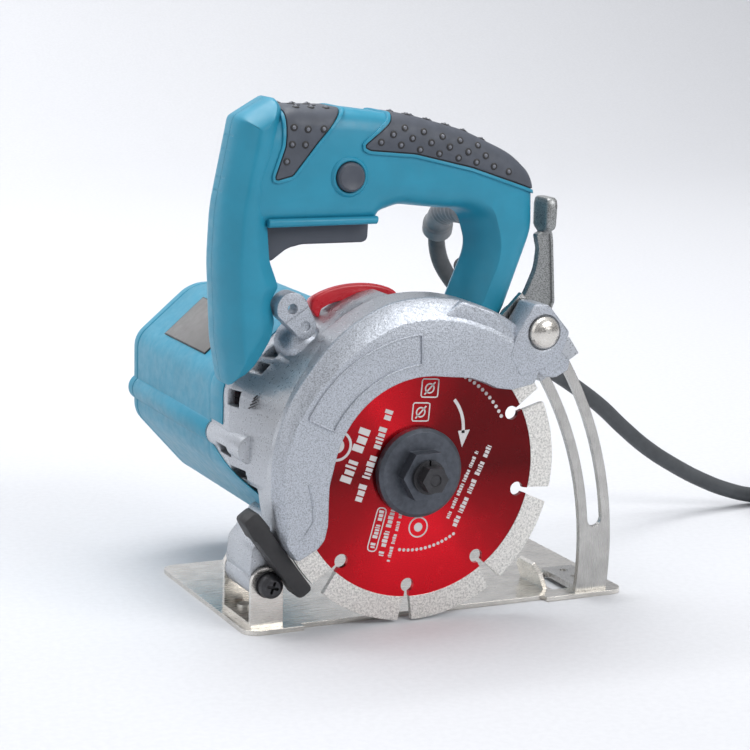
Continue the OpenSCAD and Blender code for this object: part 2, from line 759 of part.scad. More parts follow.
// Brush gear lies along X on both sides of the commutator
module brush_box(x0, x1, half, y0, y1) {
    for (side = [0, 180]) translate([motor[0], 0, motor[1]]) rotate([0, side, 0])
        translate([x0, y0, -half]) cube([x1 - x0, y1 - y0, 2 * half]);
}
module brush_holders() color([0.76, 0.62, 0.30]) {
    difference() {
        brush_box(14, 34, 4.6, brush_y[0], brush_y[1]);
        brush_box(13, 32.5, 3.2, brush_y[0] + 1.4, brush_y[1] - 1.4);
    }
}
module carbon_brushes() color([0.16, 0.16, 0.17]) {
    difference() {
        brush_box(11, 24.5, 3.1, brush_y[0] + 1.5, brush_y[1] - 1.5);
        rod(motor, commutator_r + 0.1, 90, 115);
    }
}
module brush_springs() color([0.70, 0.70, 0.68]) {
    turns = 4;
    steps = 12;
    pitch = 7 / turns;
    for (side = [-1, 1]) tube([for (i = [0:turns * steps]) let (a = i * 360 / steps)
        [motor[0] + side * (25 + pitch * i / steps), 102 + 2.2 * cos(a), motor[1] + 2.2 * sin(a)]],
        0.3, 0.3, 6, [1, 0, 0]);
}

// ---- Spindle and blade ----

module spindle() color([0.66, 0.66, 0.68]) {
    difference() {
        turned([0, axle_z], [[0, -29], [5.6, -29], [spindle_r, -28.6], [spindle_r, -4], [7.2, -4],
            [7.2, -2.6], [6.5, -2.6], [6.5, 8], [4, 8], [4, 15.2], [0, 15.2]]);
        rod([0, axle_z], 2.6, -30, -10);
    }
}

module spindle_gear() color([0.55, 0.55, 0.57]) {
    slab(gear_y[0], gear_y[1]) translate([0, axle_z]) difference() {
        rotate(6) polygon(gear_outline(gear_teeth, gear_module, gear_module * (gear_teeth / 2 + 0.75), 0.2));
        circle(r = 6.5 + fit_gap / 2);
        for (a = [0:60:300]) rotate(a) translate([11.5, 0]) circle(r = 2.2);
    }
}

module spindle_front_bearing() color([0.60, 0.61, 0.63]) {
    bearing([0, axle_z], spindle_r + run_gap, 16, -14, -4.2);
}
module spindle_rear_bearing() color([0.60, 0.61, 0.63]) { bearing([0, axle_z], 4 + run_gap, 11, 8.6, 15.6); }

module inner_flange() color([0.24, 0.24, 0.27]) {
    y = blade_y + blade_t / 2;
    turned([0, axle_z], [[spindle_r + fit_gap / 2, y - 1.4], [pilot_r - fit_gap / 2, y - 1.4],
        [pilot_r - fit_gap / 2, y], [flange_r, y], [flange_r, y + 2.4], [flange_r - 1.5, y + 4],
        [spindle_r + fit_gap / 2, y + 4]]);
}

module segment_gaps(count, r0, r1, w0, w1) {
    for (i = [0:count - 1]) translate([0, axle_z]) rotate(26.4 - i * 360 / count)
        polygon([[r0, -w0 / 2], [r1, -w1 / 2], [r1, w1 / 2], [r0, w0 / 2]]);
}

core_r = blade_d / 2 - 10;
module blade_core() color([0.72, 0.05, 0.07]) {
    slab(blade_y - blade_t / 2, blade_y + blade_t / 2) difference() {
        translate([0, axle_z]) circle(r = core_r, $fn = 128);
        translate([0, axle_z]) circle(r = pilot_r);
        for (i = [0:segment_count - 1]) translate([0, axle_z]) rotate(26.4 - i * 360 / segment_count)
            translate([core_r - 4.8, 0]) circle(r = 2.9);
        segment_gaps(segment_count, core_r - 4, core_r + 2, 1.6, 2.8);
    }
}

module blade_segments() color([0.66, 0.65, 0.62]) {
    slab(blade_y - 1.2, blade_y + 1.2) difference() {
        translate([0, axle_z]) circle(r = blade_d / 2, $fn = 128);
        translate([0, axle_z]) circle(r = core_r, $fn = 128);
        segment_gaps(segment_count, core_r - 2, core_r + 12, 2.2, 7.4);
    }
}

flange_y0 = blade_y - blade_t / 2 - 4.5;
module outer_flange() color([0.26, 0.27, 0.30]) {
    c = [0, axle_z];
    difference() {
        union() {
            turned(c, [[0, flange_y0], [flange_r - 1.5, flange_y0], [flange_r, flange_y0 + 1.2],
                [flange_r, blade_y - blade_t / 2], [0, blade_y - blade_t / 2]]);
            hex_rod(c, 19, flange_y0 - 6, flange_y0 + 0.5);
        }
        rod(c, spindle_r + fit_gap / 2, -29.4, -20);
        rod(c, 3.1, -45, -20);
    }
}

washer_y0 = flange_y0 - 7.6;
module spring_washer() color([0.32, 0.31, 0.30]) {
    difference() {
        rod([0, axle_z], 7, washer_y0, flange_y0 - 6);
        rod([0, axle_z], 3.1, -50, -20);
        translate([-0.4, washer_y0 - 1, axle_z]) cube([0.8, 4, 10]);
    }
}

module blade_bolt() color([0.28, 0.27, 0.26]) {
    difference() {
        union() {
            rod([0, axle_z], 2.55, washer_y0 - 1, -12);
            hex_rod([0, axle_z], 10, washer_y0 - 5.4, washer_y0);
        }
        turned([0, axle_z], [[0, washer_y0 - 6], [2.8, washer_y0 - 6], [2.2, washer_y0 - 4.8],
            [0, washer_y0 - 4.8]]);
    }
}

// ---- Cord ----

module strain_relief() color([0.30, 0.31, 0.32]) { tube(relief_route, 6, 4.9, 12); }
module cord_lead() color([0.32, 0.34, 0.36]) { tube(cord_route, cord_d / 2, cord_d / 2, 10); }
module cord_tail() color([0.32, 0.34, 0.36]) { tube(tail_route, cord_d / 2, cord_d / 2, 10); }

// Outer shape of the stored turns
module cord_coil() color([0.32, 0.34, 0.36]) {
    half = coil_lanes * cord_d / 2;
    translate([coil_centre[0], coil_centre[1], 0]) rotate_extrude()
        translate([coil_lane - half, 0]) square([2 * half, coil_layers * cord_d]);
}

// Two-pin plug lying on its side
module plug() color([0.14, 0.14, 0.15]) {
    translate(plug_at) rotate([90, 0, 0]) {
        difference() {
            hull() {
                translate([-5.5, -5.5, 0]) cube([11, 11, 0.1]);
                translate([-12, -6.4, 14]) cube([24, 12.8, 17]);
            }
            translate([0, 0, -1]) cylinder(r = cord_d / 2 + 0.05, h = 3);
        }
        for (x = [-9.5, 9.5]) translate([x, 0, 30]) cylinder(r = 2.4, h = 20);
    }
}

base_plate();
pivot_bracket();
bracket_rivets();
arc_guide();
pivot_screw();
pivot_washers();
pivot_nut();
blade_guard();
guard_screws();
gear_housing();
motor_housing();
housing_screws();
rear_cover();
rear_cover_screws();
nameplate();
exhaust_deflector();
splash_flap();
carriage_bolt();
clamp_lever();
handle_shell_blade_side();
handle_shell_motor_side();
handle_screws();
front_grip_inserts();
rear_grip_inserts();
trigger();
trigger_pin();
switch_body();
lock_button();
armature_shaft();
rotor_core();
rotor_windings();
commutator();
cooling_fan();
motor_front_bearing();
motor_rear_bearing();
stator_core();
field_coils();
brush_holders();
carbon_brushes();
brush_springs();
spindle();
spindle_gear();
spindle_front_bearing();
spindle_rear_bearing();
inner_flange();
blade_core();
blade_segments();
outer_flange();
spring_washer();
blade_bolt();
strain_relief();
cord_lead();
cord_coil();
cord_tail();
plug();
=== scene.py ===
"""Looks of a hand-held marble cutter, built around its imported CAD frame.

Lengths are millimetres in the row frame until a mesh is made, where MM turns them into metres.
"""

import json
import math

import bmesh
import bpy
from mathutils import Matrix, Vector
from mathutils.bvhtree import BVHTree
from mathutils.kdtree import KDTree


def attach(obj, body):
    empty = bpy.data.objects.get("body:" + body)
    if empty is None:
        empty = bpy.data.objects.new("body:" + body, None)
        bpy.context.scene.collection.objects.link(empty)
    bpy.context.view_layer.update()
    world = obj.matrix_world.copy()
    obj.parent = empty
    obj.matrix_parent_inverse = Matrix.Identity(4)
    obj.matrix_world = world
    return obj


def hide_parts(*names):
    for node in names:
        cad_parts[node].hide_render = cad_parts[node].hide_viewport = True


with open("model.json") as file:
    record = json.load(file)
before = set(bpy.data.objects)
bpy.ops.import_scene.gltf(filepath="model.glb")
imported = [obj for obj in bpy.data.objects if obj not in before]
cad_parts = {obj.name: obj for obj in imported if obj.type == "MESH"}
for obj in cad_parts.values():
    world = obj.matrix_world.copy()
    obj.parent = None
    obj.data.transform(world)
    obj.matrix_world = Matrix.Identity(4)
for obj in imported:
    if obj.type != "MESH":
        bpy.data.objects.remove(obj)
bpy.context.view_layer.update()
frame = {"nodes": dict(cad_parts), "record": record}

MM = 0.001
HEAD = "saw_head"
AXLE = (0.0, 63.2)  # spindle axis, x and z
MOTOR = (-22.73, 76.33)  # armature axis
PIVOT = (-62.0, 20.0)  # base pivot
CLAMP = (52.2, 118.9)  # depth clamp bolt
BOLT_HOLE = 3.05  # radius of the holes for the M6 bolts
BLADE_FACE = -26.0  # y of the blade's outer face

# ---------------------------------------------------------------- camera, light and floor

VIEW_ANGLES = (-25.248, 11.343, 1.375)  # azimuth, elevation and roll in degrees
VIEW_TARGET = (0, 0.01596, 0.09494)  # metres
VIEW_DISTANCE = 0.96957
SKY_DARK, SKY_BRIGHT = (0.10, 0.10, 0.11), (1.0, 1.0, 1.02)
BEND_START, BEND_RADIUS = 1.4, 1.2  # metres, where the floor turns up into the backdrop
FLOOR_DROP = 0.00005  # metres between the floor and the base plate


def add_object(name, data):
    thing = bpy.data.objects.new(name, data)
    bpy.context.scene.collection.objects.link(thing)
    return thing


def set_camera():
    azimuth, elevation, roll = (math.radians(v) for v in VIEW_ANGLES)
    level = math.cos(elevation)
    back = Vector((math.sin(azimuth) * level, -math.cos(azimuth) * level, math.sin(elevation)))
    right = Vector((math.cos(azimuth), math.sin(azimuth), 0))
    up = back.cross(right)
    tilted_right = right * math.cos(roll) + up * math.sin(roll)
    tilted_up = up * math.cos(roll) - right * math.sin(roll)
    data = bpy.data.cameras.new("camera")
    data.lens = 111.05
    data.sensor_width = 36
    data.clip_start = 0.05
    axes = Matrix((tilted_right, tilted_up, back)).transposed().to_4x4()
    camera = add_object("camera", data)
    camera.matrix_world = Matrix.Translation(Vector(VIEW_TARGET) + back * VIEW_DISTANCE) @ axes
    bpy.context.scene.camera = camera


def softbox(name, place, target, size, watts):
    data = bpy.data.lights.new(name, "AREA")
    data.shape = "RECTANGLE"
    data.size, data.size_y = size
    data.energy = watts
    lamp = add_object(name, data)
    lamp.location = place
    aim = Vector(target) - Vector(place)
    lamp.rotation_euler = aim.to_track_quat("-Z", "Y").to_euler()


def set_light():
    centre = (0, 0.02, 0.1)
    softbox("key_light", (0.75, -1.5, 1.15), centre, (1.1, 0.9), 20)
    softbox("top_light", (-0.15, 0.35, 1.6), centre, (1.3, 1.0), 16)
    softbox("left_fill", (-1.6, -0.5, 0.75), centre, (0.5, 1.2), 1.5)
    softbox("backdrop_light", (-0.7, 1.1, 2.3), (-0.6, 2.6, 0.8), (2.6, 0.5), 62)
    world = bpy.data.worlds.new("studio")
    bpy.context.scene.world = world
    world.use_nodes = True
    tree = world.node_tree
    sky = tree.nodes.new("ShaderNodeTexCoord")
    lean = tree.nodes.new("ShaderNodeVectorMath")  # up and back is bright, the front is dark
    lean.operation = "DOT_PRODUCT"
    lean.inputs[1].default_value = (-0.15, 0.62, 0.77)
    ramp = tree.nodes.new("ShaderNodeValToRGB")
    for element, position, color in zip(ramp.color_ramp.elements, (0.0, 0.75), (SKY_DARK, SKY_BRIGHT)):
        element.position = position
        element.color = (*color, 1)
    lift = tree.nodes.new("ShaderNodeMath")
    lift.operation = "MULTIPLY_ADD"
    lift.inputs[1].default_value = 0.5
    lift.inputs[2].default_value = 0.35
    tree.links.new(sky.outputs["Generated"], lean.inputs[0])
    tree.links.new(lean.outputs["Value"], lift.inputs[0])
    tree.links.new(lift.outputs[0], ramp.inputs[0])
    background = tree.nodes["Background"]
    tree.links.new(ramp.outputs[0], background.inputs["Color"])
    background.inputs["Strength"].default_value = 0.8
    bpy.context.scene.view_settings.view_transform = "Standard"


def make_floor():
    """A pale floor that curves up into a backdrop."""
    profile = [(-4.0, 0.0), (BEND_START, 0.0)]
    for i in range(1, 13):
        turn = math.radians(90 * i / 12)
        y = BEND_START + BEND_RADIUS * math.sin(turn)
        profile.append((y, BEND_RADIUS - BEND_RADIUS * math.cos(turn)))
    profile.append((BEND_START + BEND_RADIUS, 4.0))
    data = bpy.data.meshes.new("floor")
    verts = [(x, y, z - FLOOR_DROP) for y, z in profile for x in (-5.0, 5.0)]
    faces = [(2 * i, 2 * i + 1, 2 * i + 3, 2 * i + 2) for i in range(len(profile) - 1)]
    data.from_pydata(verts, [], faces)
    data.polygons.foreach_set("use_smooth", [True] * len(faces))
    floor = add_object("floor", data)
    paper = Finish("floor_paper", (0.60, 0.61, 0.635), 0.9)
    paper.mottle(3.0, 0.02)
    floor.data.materials.append(paper.material)


# ---------------------------------------------------------------- materials

WAVE_SCALE = 0.314159  # scale times pitch in a wave texture


class Finish:
    """A Principled material in object coordinates, built up by the calls below."""

    def __init__(self, name, color, rough, metal=0.0, coat=0.0, edge=0.0):
        self.material = bpy.data.materials.new(name)
        self.material.use_nodes = True
        self.tree = self.material.node_tree
        self.shader = self.tree.nodes["Principled BSDF"]
        self.color = tuple(color)
        settings = {"Base Color": (*color, 1), "Roughness": rough, "Metallic": metal, "Coat Weight": coat}
        for socket, value in settings.items():
            self.shader.inputs[socket].default_value = value
        self.shader.inputs["Coat Roughness"].default_value = 0.12
        self.place = self.node("ShaderNodeTexCoord").outputs["Object"]
        self.normal = None
        if edge:
            rounding = self.node("ShaderNodeBevel", Radius=edge * MM)
            rounding.samples = 4
            self.normal = rounding.outputs[0]
            self.link(self.normal, self.shader.inputs["Normal"])

    def node(self, kind, **inputs):
        node = self.tree.nodes.new(kind)
        for socket, value in inputs.items():
            node.inputs[socket].default_value = value
        return node

    def link(self, source, target):
        self.tree.links.new(source, target)

    def mapped(self, **inputs):
        """Object coordinates through a Mapping node."""
        mapping = self.node("ShaderNodeMapping", **inputs)
        self.link(self.place, mapping.inputs["Vector"])
        return mapping.outputs[0]

    def noise(self, size, detail=3.0, stretch=None, rough=0.55):
        """Noise with features about size millimetres across."""
        texture = self.node("ShaderNodeTexNoise", Scale=1 / (size * MM), Detail=detail, Roughness=rough)
        self.link(self.mapped(Scale=stretch) if stretch else self.place, texture.inputs["Vector"])
        return texture.outputs["Fac"]

    def cells(self, size):
        texture = self.node("ShaderNodeTexVoronoi", Scale=1 / (size * MM))
        self.link(self.place, texture.inputs["Vector"])
        return texture.outputs["Distance"]

    def waves(self, pitch, direction, distortion):
        """Parallel bands one pitch apart across an axis, or rings about Y."""
        scale = WAVE_SCALE / (pitch * MM)
        texture = self.node("ShaderNodeTexWave", Scale=scale, Distortion=distortion)
        if direction == "RINGS":
            texture.wave_type = "RINGS"
            texture.rings_direction = "Y"
        else:
            texture.bands_direction = direction
        self.link(self.place, texture.inputs["Vector"])
        return texture.outputs["Fac"]

    def ramp(self, source, stops):
        ramp = self.node("ShaderNodeValToRGB")
        elements = ramp.color_ramp.elements
        while len(elements) < len(stops):
            elements.new(0.5)
        for element, (position, value) in zip(elements, stops):
            element.position = position
            color = value if isinstance(value, tuple) else (value, value, value)
            element.color = (*color, 1)
        self.link(source, ramp.inputs[0])
        return ramp.outputs[0]

    def paint(self, source, dark, light, low=0.35, high=0.65):
        """Colour runs from dark to light times the base colour as source rises."""
        stops = [(low, tuple(c * dark for c in self.color)), (high, tuple(c * light for c in self.color))]
        self.link(self.ramp(source, stops), self.shader.inputs["Base Color"])
        return self

    def vary_rough(self, source, low, high, start=0.3, end=0.7):
        self.link(self.ramp(source, [(start, low), (end, high)]), self.shader.inputs["Roughness"])
        return self

    def bump(self, source, depth, strength=1.0):
        """Relief of depth millimetres from source."""
        bump = self.node("ShaderNodeBump", Distance=depth * MM, Strength=strength)
        self.link(source, bump.inputs["Height"])
        if self.normal:
            self.link(self.normal, bump.inputs["Normal"])
        self.normal = bump.outputs[0]
        self.link(self.normal, self.shader.inputs["Normal"])
        return self

    def mottle(self, size, amount):
        return self.paint(self.noise(size), 1 - amount, 1 + amount)


def moulded(name, color, rough=0.42, edge=0.4, grain=0.018, coat=0.0):
    """Moulded plastic: fine spark-eroded grain, faint flow clouds and handling marks."""
    finish = Finish(name, color, rough, coat=coat, edge=edge)
    finish.mottle(14.0, 0.05)
    finish.vary_rough(finish.noise(4.0, 5.0), rough - 0.06, rough + 0.08)
    finish.bump(finish.noise(0.45, 2.0), grain)
    return finish.material


def cast(name, color, rough, speckle):
    """Die casting under silver lacquer: dark pores between bright coarse grains."""
    finish = Finish(name, color, rough, metal=0.72, edge=0.7)
    grains = finish.noise(0.55, 2.5, rough=0.7)
    finish.paint(grains, 1 - speckle, 1.12, 0.36, 0.56)
    finish.vary_rough(finish.noise(1.1, 3.0), rough - 0.1, rough + 0.12)
    finish.bump(finish.noise(1.3, 4.0), 0.16, 0.75)
    finish.bump(grains, 0.05, 0.8)
    return finish.material


def plated(name, color, rough, lines="X"):
    """Nickel plated sheet: fine rolling lines, clouds and small scratches."""
    finish = Finish(name, color, rough, metal=1.0, edge=0.35)
    stretch = {"X": (0.03, 1, 1), "Y": (1, 0.03, 1), "Z": (1, 1, 0.03)}[lines]
    streaks = finish.noise(0.35, 3.0, stretch)
    finish.paint(finish.noise(9.0, 4.0), 0.86, 1.04)
    finish.vary_rough(streaks, rough - 0.06, rough + 0.12)
    finish.bump(streaks, 0.010)
    finish.bump(finish.noise(3.5, 3.0), 0.03, 0.5)
    return finish.material


def turned(name, color, rough, metal=1.0, pitch=0.35):
    """Turned part: fine rings about Y and a little oil darkening."""
    finish = Finish(name, color, rough, metal=metal, edge=0.25)
    finish.paint(finish.noise(2.5, 4.0), 0.78, 1.05)
    finish.bump(finish.waves(pitch, "RINGS", 0.4), 0.006)
    finish.vary_rough(finish.noise(1.2, 4.0), rough - 0.05, rough + 0.12)
    return finish.material


def rubbery(name, color, rough=0.62, size=0.6):
    finish = Finish(name, color, rough, edge=0.3)
    finish.mottle(6.0, 0.10)
    finish.vary_rough(finish.noise(2.5, 4.0), rough - 0.08, rough + 0.1)
    finish.bump(finish.noise(size, 3.0), 0.03)
    return finish.material


def banded(name, color, rough, metal, pitch, direction, depth=0.05, dark=0.6):
    """Stacked sheet or wound wire: parallel bands."""
    finish = Finish(name, color, rough, metal=metal)
    bands = finish.waves(pitch, direction, 0.6)
    finish.paint(bands, dark, 1.1, 0.1, 0.7)
    finish.bump(bands, depth)
    return finish.material


TEAL = (0.015, 0.245, 0.375)
SLATE = (0.064, 0.073, 0.094)

LOOKS = {
    "zinc_plate": plated("nickel_plate", (0.76, 0.73, 0.68), 0.24, "X"),
    # The arc guide's copy of the nickel plate, darker: painted shade
    "shaded_guide_plate": plated("nickel_guide_shaded", (0.52, 0.51, 0.49), 0.24, "Z"),
    "bright_screws": turned("zinc_screws", (0.70, 0.69, 0.66), 0.30),
    "black_screws": turned("black_oxide", (0.055, 0.055, 0.06), 0.38, 0.6),
    "cast_alloy": cast("cast_silver", (0.48, 0.51, 0.56), 0.42, 0.36),
    "smooth_casting": cast("cast_satin", (0.46, 0.48, 0.51), 0.34, 0.10),
    "lever_alloy": cast("cast_lever", (0.33, 0.34, 0.34), 0.40, 0.55),
    "housing_plastic": moulded("teal_moulding", TEAL),
    "plate_film": moulded("label_film", (0.15, 0.145, 0.14), 0.35, 0.0, 0.004),
    "print_white": moulded("print_white", (0.62, 0.60, 0.60), 0.45, 0.0, 0.004),
    "visor_plastic": moulded("red_moulding", (0.60, 0.018, 0.030), 0.30, 0.5, 0.01),
    "flap_rubber": rubbery("flap_rubber", (0.022, 0.022, 0.024), 0.55),
    "grip_rubber": rubbery("grip_rubber", SLATE, 0.55, 0.35),
    "stud_rubber": rubbery("stud_rubber", (0.16, 0.17, 0.20), 0.35, 0.35),
    "trigger_plastic": moulded("slate_moulding", SLATE, 0.45, 0.5),
    "black_plastic": moulded("black_moulding", (0.02, 0.02, 0.022), 0.42),
    "turned_steel": turned("ground_steel", (0.62, 0.62, 0.64), 0.25),
    "bearing_steel": turned("bearing_steel", (0.68, 0.69, 0.71), 0.16),
    "lamination_steel": banded("laminations", (0.36, 0.36, 0.38), 0.42, 0.9, 0.5, "Y"),
    "copper_wire": banded("enamelled_wire", (0.62, 0.24, 0.08), 0.30, 0.85, 0.8, "X", 0.12),
    "brass_sheet": plated("brass_sheet", (0.78, 0.58, 0.26), 0.28, "Y"),
    "carbon": rubbery("pressed_carbon", (0.028, 0.028, 0.03), 0.5, 0.3),
    "dark_flange": turned("dark_flange", (0.090, 0.100, 0.120), 0.34, 0.65, 0.6),
    "cord_rubber": rubbery("cord_sheath", (0.062, 0.068, 0.075), 0.55, 1.2),
    "relief_rubber": rubbery("relief_rubber", (0.20, 0.205, 0.215), 0.55, 0.8),
}


# Painted reflection round the blade, bright and dark wedges: share of a turn, times the base colour
BLADE_PAINTED_REFLECTION = [
    (0.0, 0.28), (0.08, 0.7), (0.16, 1.3), (0.24, 0.8), (0.33, 0.35), (0.42, 0.24), (0.5, 0.2),
    (0.58, 0.6), (0.68, 1.4), (0.80, 1.5), (0.90, 0.8), (1.0, 0.28),
]


def blade_paint():
    """Candy red over turned steel, with bright and dark wedges of painted reflection about the spindle.
    """
    finish = Finish("blade_red", (0.50, 0.004, 0.012), 0.30, metal=1.0, coat=0.25)
    finish.shader.inputs["Anisotropic"].default_value = 0.8
    around = finish.node("ShaderNodeTangent")
    around.direction_type = "RADIAL"
    around.axis = "Y"
    finish.link(around.outputs[0], finish.shader.inputs["Tangent"])
    about_spindle = finish.mapped(Location=(0, AXLE[1] * MM, 0), Rotation=(math.radians(90), 0, 0))
    reflection_sweep = finish.node("ShaderNodeTexGradient")
    reflection_sweep.gradient_type = "RADIAL"
    finish.link(about_spindle, reflection_sweep.inputs["Vector"])
    # The base colour carries a painted reflection: brighter and darker wedges by angle about the spindle
    stops = [(at, tuple(c * level for c in finish.color)) for at, level in BLADE_PAINTED_REFLECTION]
    painted_reflection = finish.ramp(reflection_sweep.outputs["Fac"], stops)
    grain = finish.ramp(finish.noise(0.5, 3.0), [(0.35, 0.84), (0.65, 1.1)])
    mix = finish.node("ShaderNodeMix", Factor=1.0)
    mix.data_type = "RGBA"
    mix.blend_type = "MULTIPLY"
    finish.link(painted_reflection, mix.inputs["A"])
    finish.link(grain, mix.inputs["B"])
    finish.link(mix.outputs["Result"], finish.shader.inputs["Base Color"])
    finish.vary_rough(finish.noise(7.0, 4.0), 0.24, 0.38)
    return finish.material


def segment_metal():
    """Sintered segments: bright matrix with dark diamond grains and grinding scores."""
    finish = Finish("sintered_segment", (0.80, 0.785, 0.75), 0.42, metal=0.75, edge=0.3)
    finish.paint(finish.noise(0.9, 4.0, rough=0.75), 0.55, 1.12, 0.34, 0.58)
    scores = finish.noise(0.5, 2.0, (1.0, 1.0, 0.08))
    finish.vary_rough(scores, 0.32, 0.58)
    finish.bump(scores, 0.05, 0.7)
    finish.bump(finish.cells(0.7), 0.05, 0.5)
    return finish.material


LOOKS.update(blade_paint=blade_paint(), diamond_segment=segment_metal())


def dress_frame():
    """Every carried-over CAD node gets the material of its slot, except the arc guide, which gets a
    darker copy of the nickel plate as painted shade.
    """
    for part in frame["record"]["subparts"]:
        node = frame["nodes"][part["node"]]
        # The arc guide takes the darker, painted-shade copy of the nickel plate
        look = "shaded_guide_plate" if part["node"] == "arc_guide" else part["material_slot"]
        node.data.materials.clear()
        node.data.materials.append(LOOKS[look])


# ---------------------------------------------------------------- points and outlines


def clamped(value):
    return min(max(value, 0), 1)


def heading(degrees):
    """Unit vector in X and Z."""
    angle = math.radians(degrees)
    return Vector((math.cos(angle), math.sin(angle)))


def points(*pairs):
    return [Vector(pair) for pair in pairs]


def at(loop, y):
    """An outline in X and Z as points in space at one y."""
    return [Vector((p.x, y, p.y)) for p in loop]


def circle(centre, radius, steps=48):
    turns = (2 * math.pi * k / steps for k in range(steps))
    return [Vector((centre[0] + radius * math.cos(a), centre[1] + radius * math.sin(a))) for a in turns]


def arc(centre, radius, start, end, steps):
    turns = (math.radians(start + (end - start) * k / steps) for k in range(steps + 1))
    return [Vector((centre[0] + radius * math.cos(a), centre[1] + radius * math.sin(a))) for a in turns]


def ring_sector(centre, inner, outer, start, end, steps=32):
    return arc(centre, outer, start, end, steps) + arc(centre, inner, end, start, steps)


def hoop(centre, side, other, radius, steps):
    """A circle of points in the plane of two unit vectors."""
    turns = (2 * math.pi * k / steps for k in range(steps))
    return [centre + (side * math.cos(a) + other * math.sin(a)) * radius for a in turns]


def turned_corners(corners, centre, degrees):
    """Corners (x, z, radius) turned about the origin and moved to a centre."""
    cos, sin = heading(degrees)
    return [(centre[0] + x * cos - z * sin, centre[1] + x * sin + z * cos, r) for x, z, r in corners]


def rounded(corners, steps=6):
    """Closed outline through corners (x, z, radius), each rounded by its own radius."""
    outline = []
    count = len(corners)
    for i, (x, z, radius) in enumerate(corners):
        here = Vector((x, z))
        before = Vector(corners[i - 1][:2]) - here
        after = Vector(corners[(i + 1) % count][:2]) - here
        if radius <= 0:
            outline.append(here)
            continue
        half = before.angle(after) / 2
        reach = min(radius / math.tan(half), before.length * 0.48, after.length * 0.48)
        start = here + before.normalized() * reach
        end = here + after.normalized() * reach
        for k in range(steps + 1):
            t = k / steps
            outline.append(start * (1 - t) ** 2 + here * 2 * t * (1 - t) + end * t * t)
    return outline


def even(outline, step):
    """The same closed outline with points evenly about one step apart."""
    loop = list(outline) + [outline[0]]
    lengths = [0.0]
    for a, b in zip(loop, loop[1:]):
        lengths.append(lengths[-1] + (b - a).length)
    count = max(8, round(lengths[-1] / step))
    spaced = []
    k = 0
    for i in range(count):
        want = lengths[-1] * i / count
        while lengths[k + 1] < want:
            k += 1
        t = (want - lengths[k]) / (lengths[k + 1] - lengths[k])
        spaced.append(loop[k].lerp(loop[k + 1], t))
    return spaced


def counter_clockwise(loop):
    area = sum(a.cross(b) for a, b in zip(loop, loop[1:] + loop[:1])) / 2
    return list(loop) if area > 0 else list(reversed(loop))


def inset(loop, distance, weight=None):
    """Moves each point of a counter-clockwise loop inwards by distance times its weight.

    Points that would cross over at a corner are gathered between their sound neighbours.
    """
    own = [distance * (weight(here) if weight else 1.0) for here in loop]
    near = KDTree(len(loop))
    for i, here in enumerate(loop):
        near.insert(here.to_3d(), i)
    near.balance()
    moved, sound = [], []
    for i, here in enumerate(loop):
        along = (loop[(i + 1) % len(loop)] - loop[i - 1]).normalized()
        moved.append(here + Vector((-along.y, along.x)) * own[i])
        _, nearest, gap = near.find(moved[-1].to_3d())
        sound.append(gap > own[nearest] - 0.08)
    count = len(loop)
    if distance <= 0 or not any(sound):
        return moved
    result = list(moved)
    for i in range(count):
        if sound[i]:
            continue
        back = next(k for k in range(1, count) if sound[i - k])
        ahead = next(k for k in range(1, count) if sound[(i + k) % count])
        result[i] = moved[i - back].lerp(moved[(i + ahead) % count], back / (back + ahead))
    return result


def lathe_rows(profile, centre, steps=48):
    """Rows of points for a profile of (radius, y) turned about an axis along Y."""
    return [at(circle(centre, radius, steps), y) for radius, y in profile]


# ---------------------------------------------------------------- mesh tools


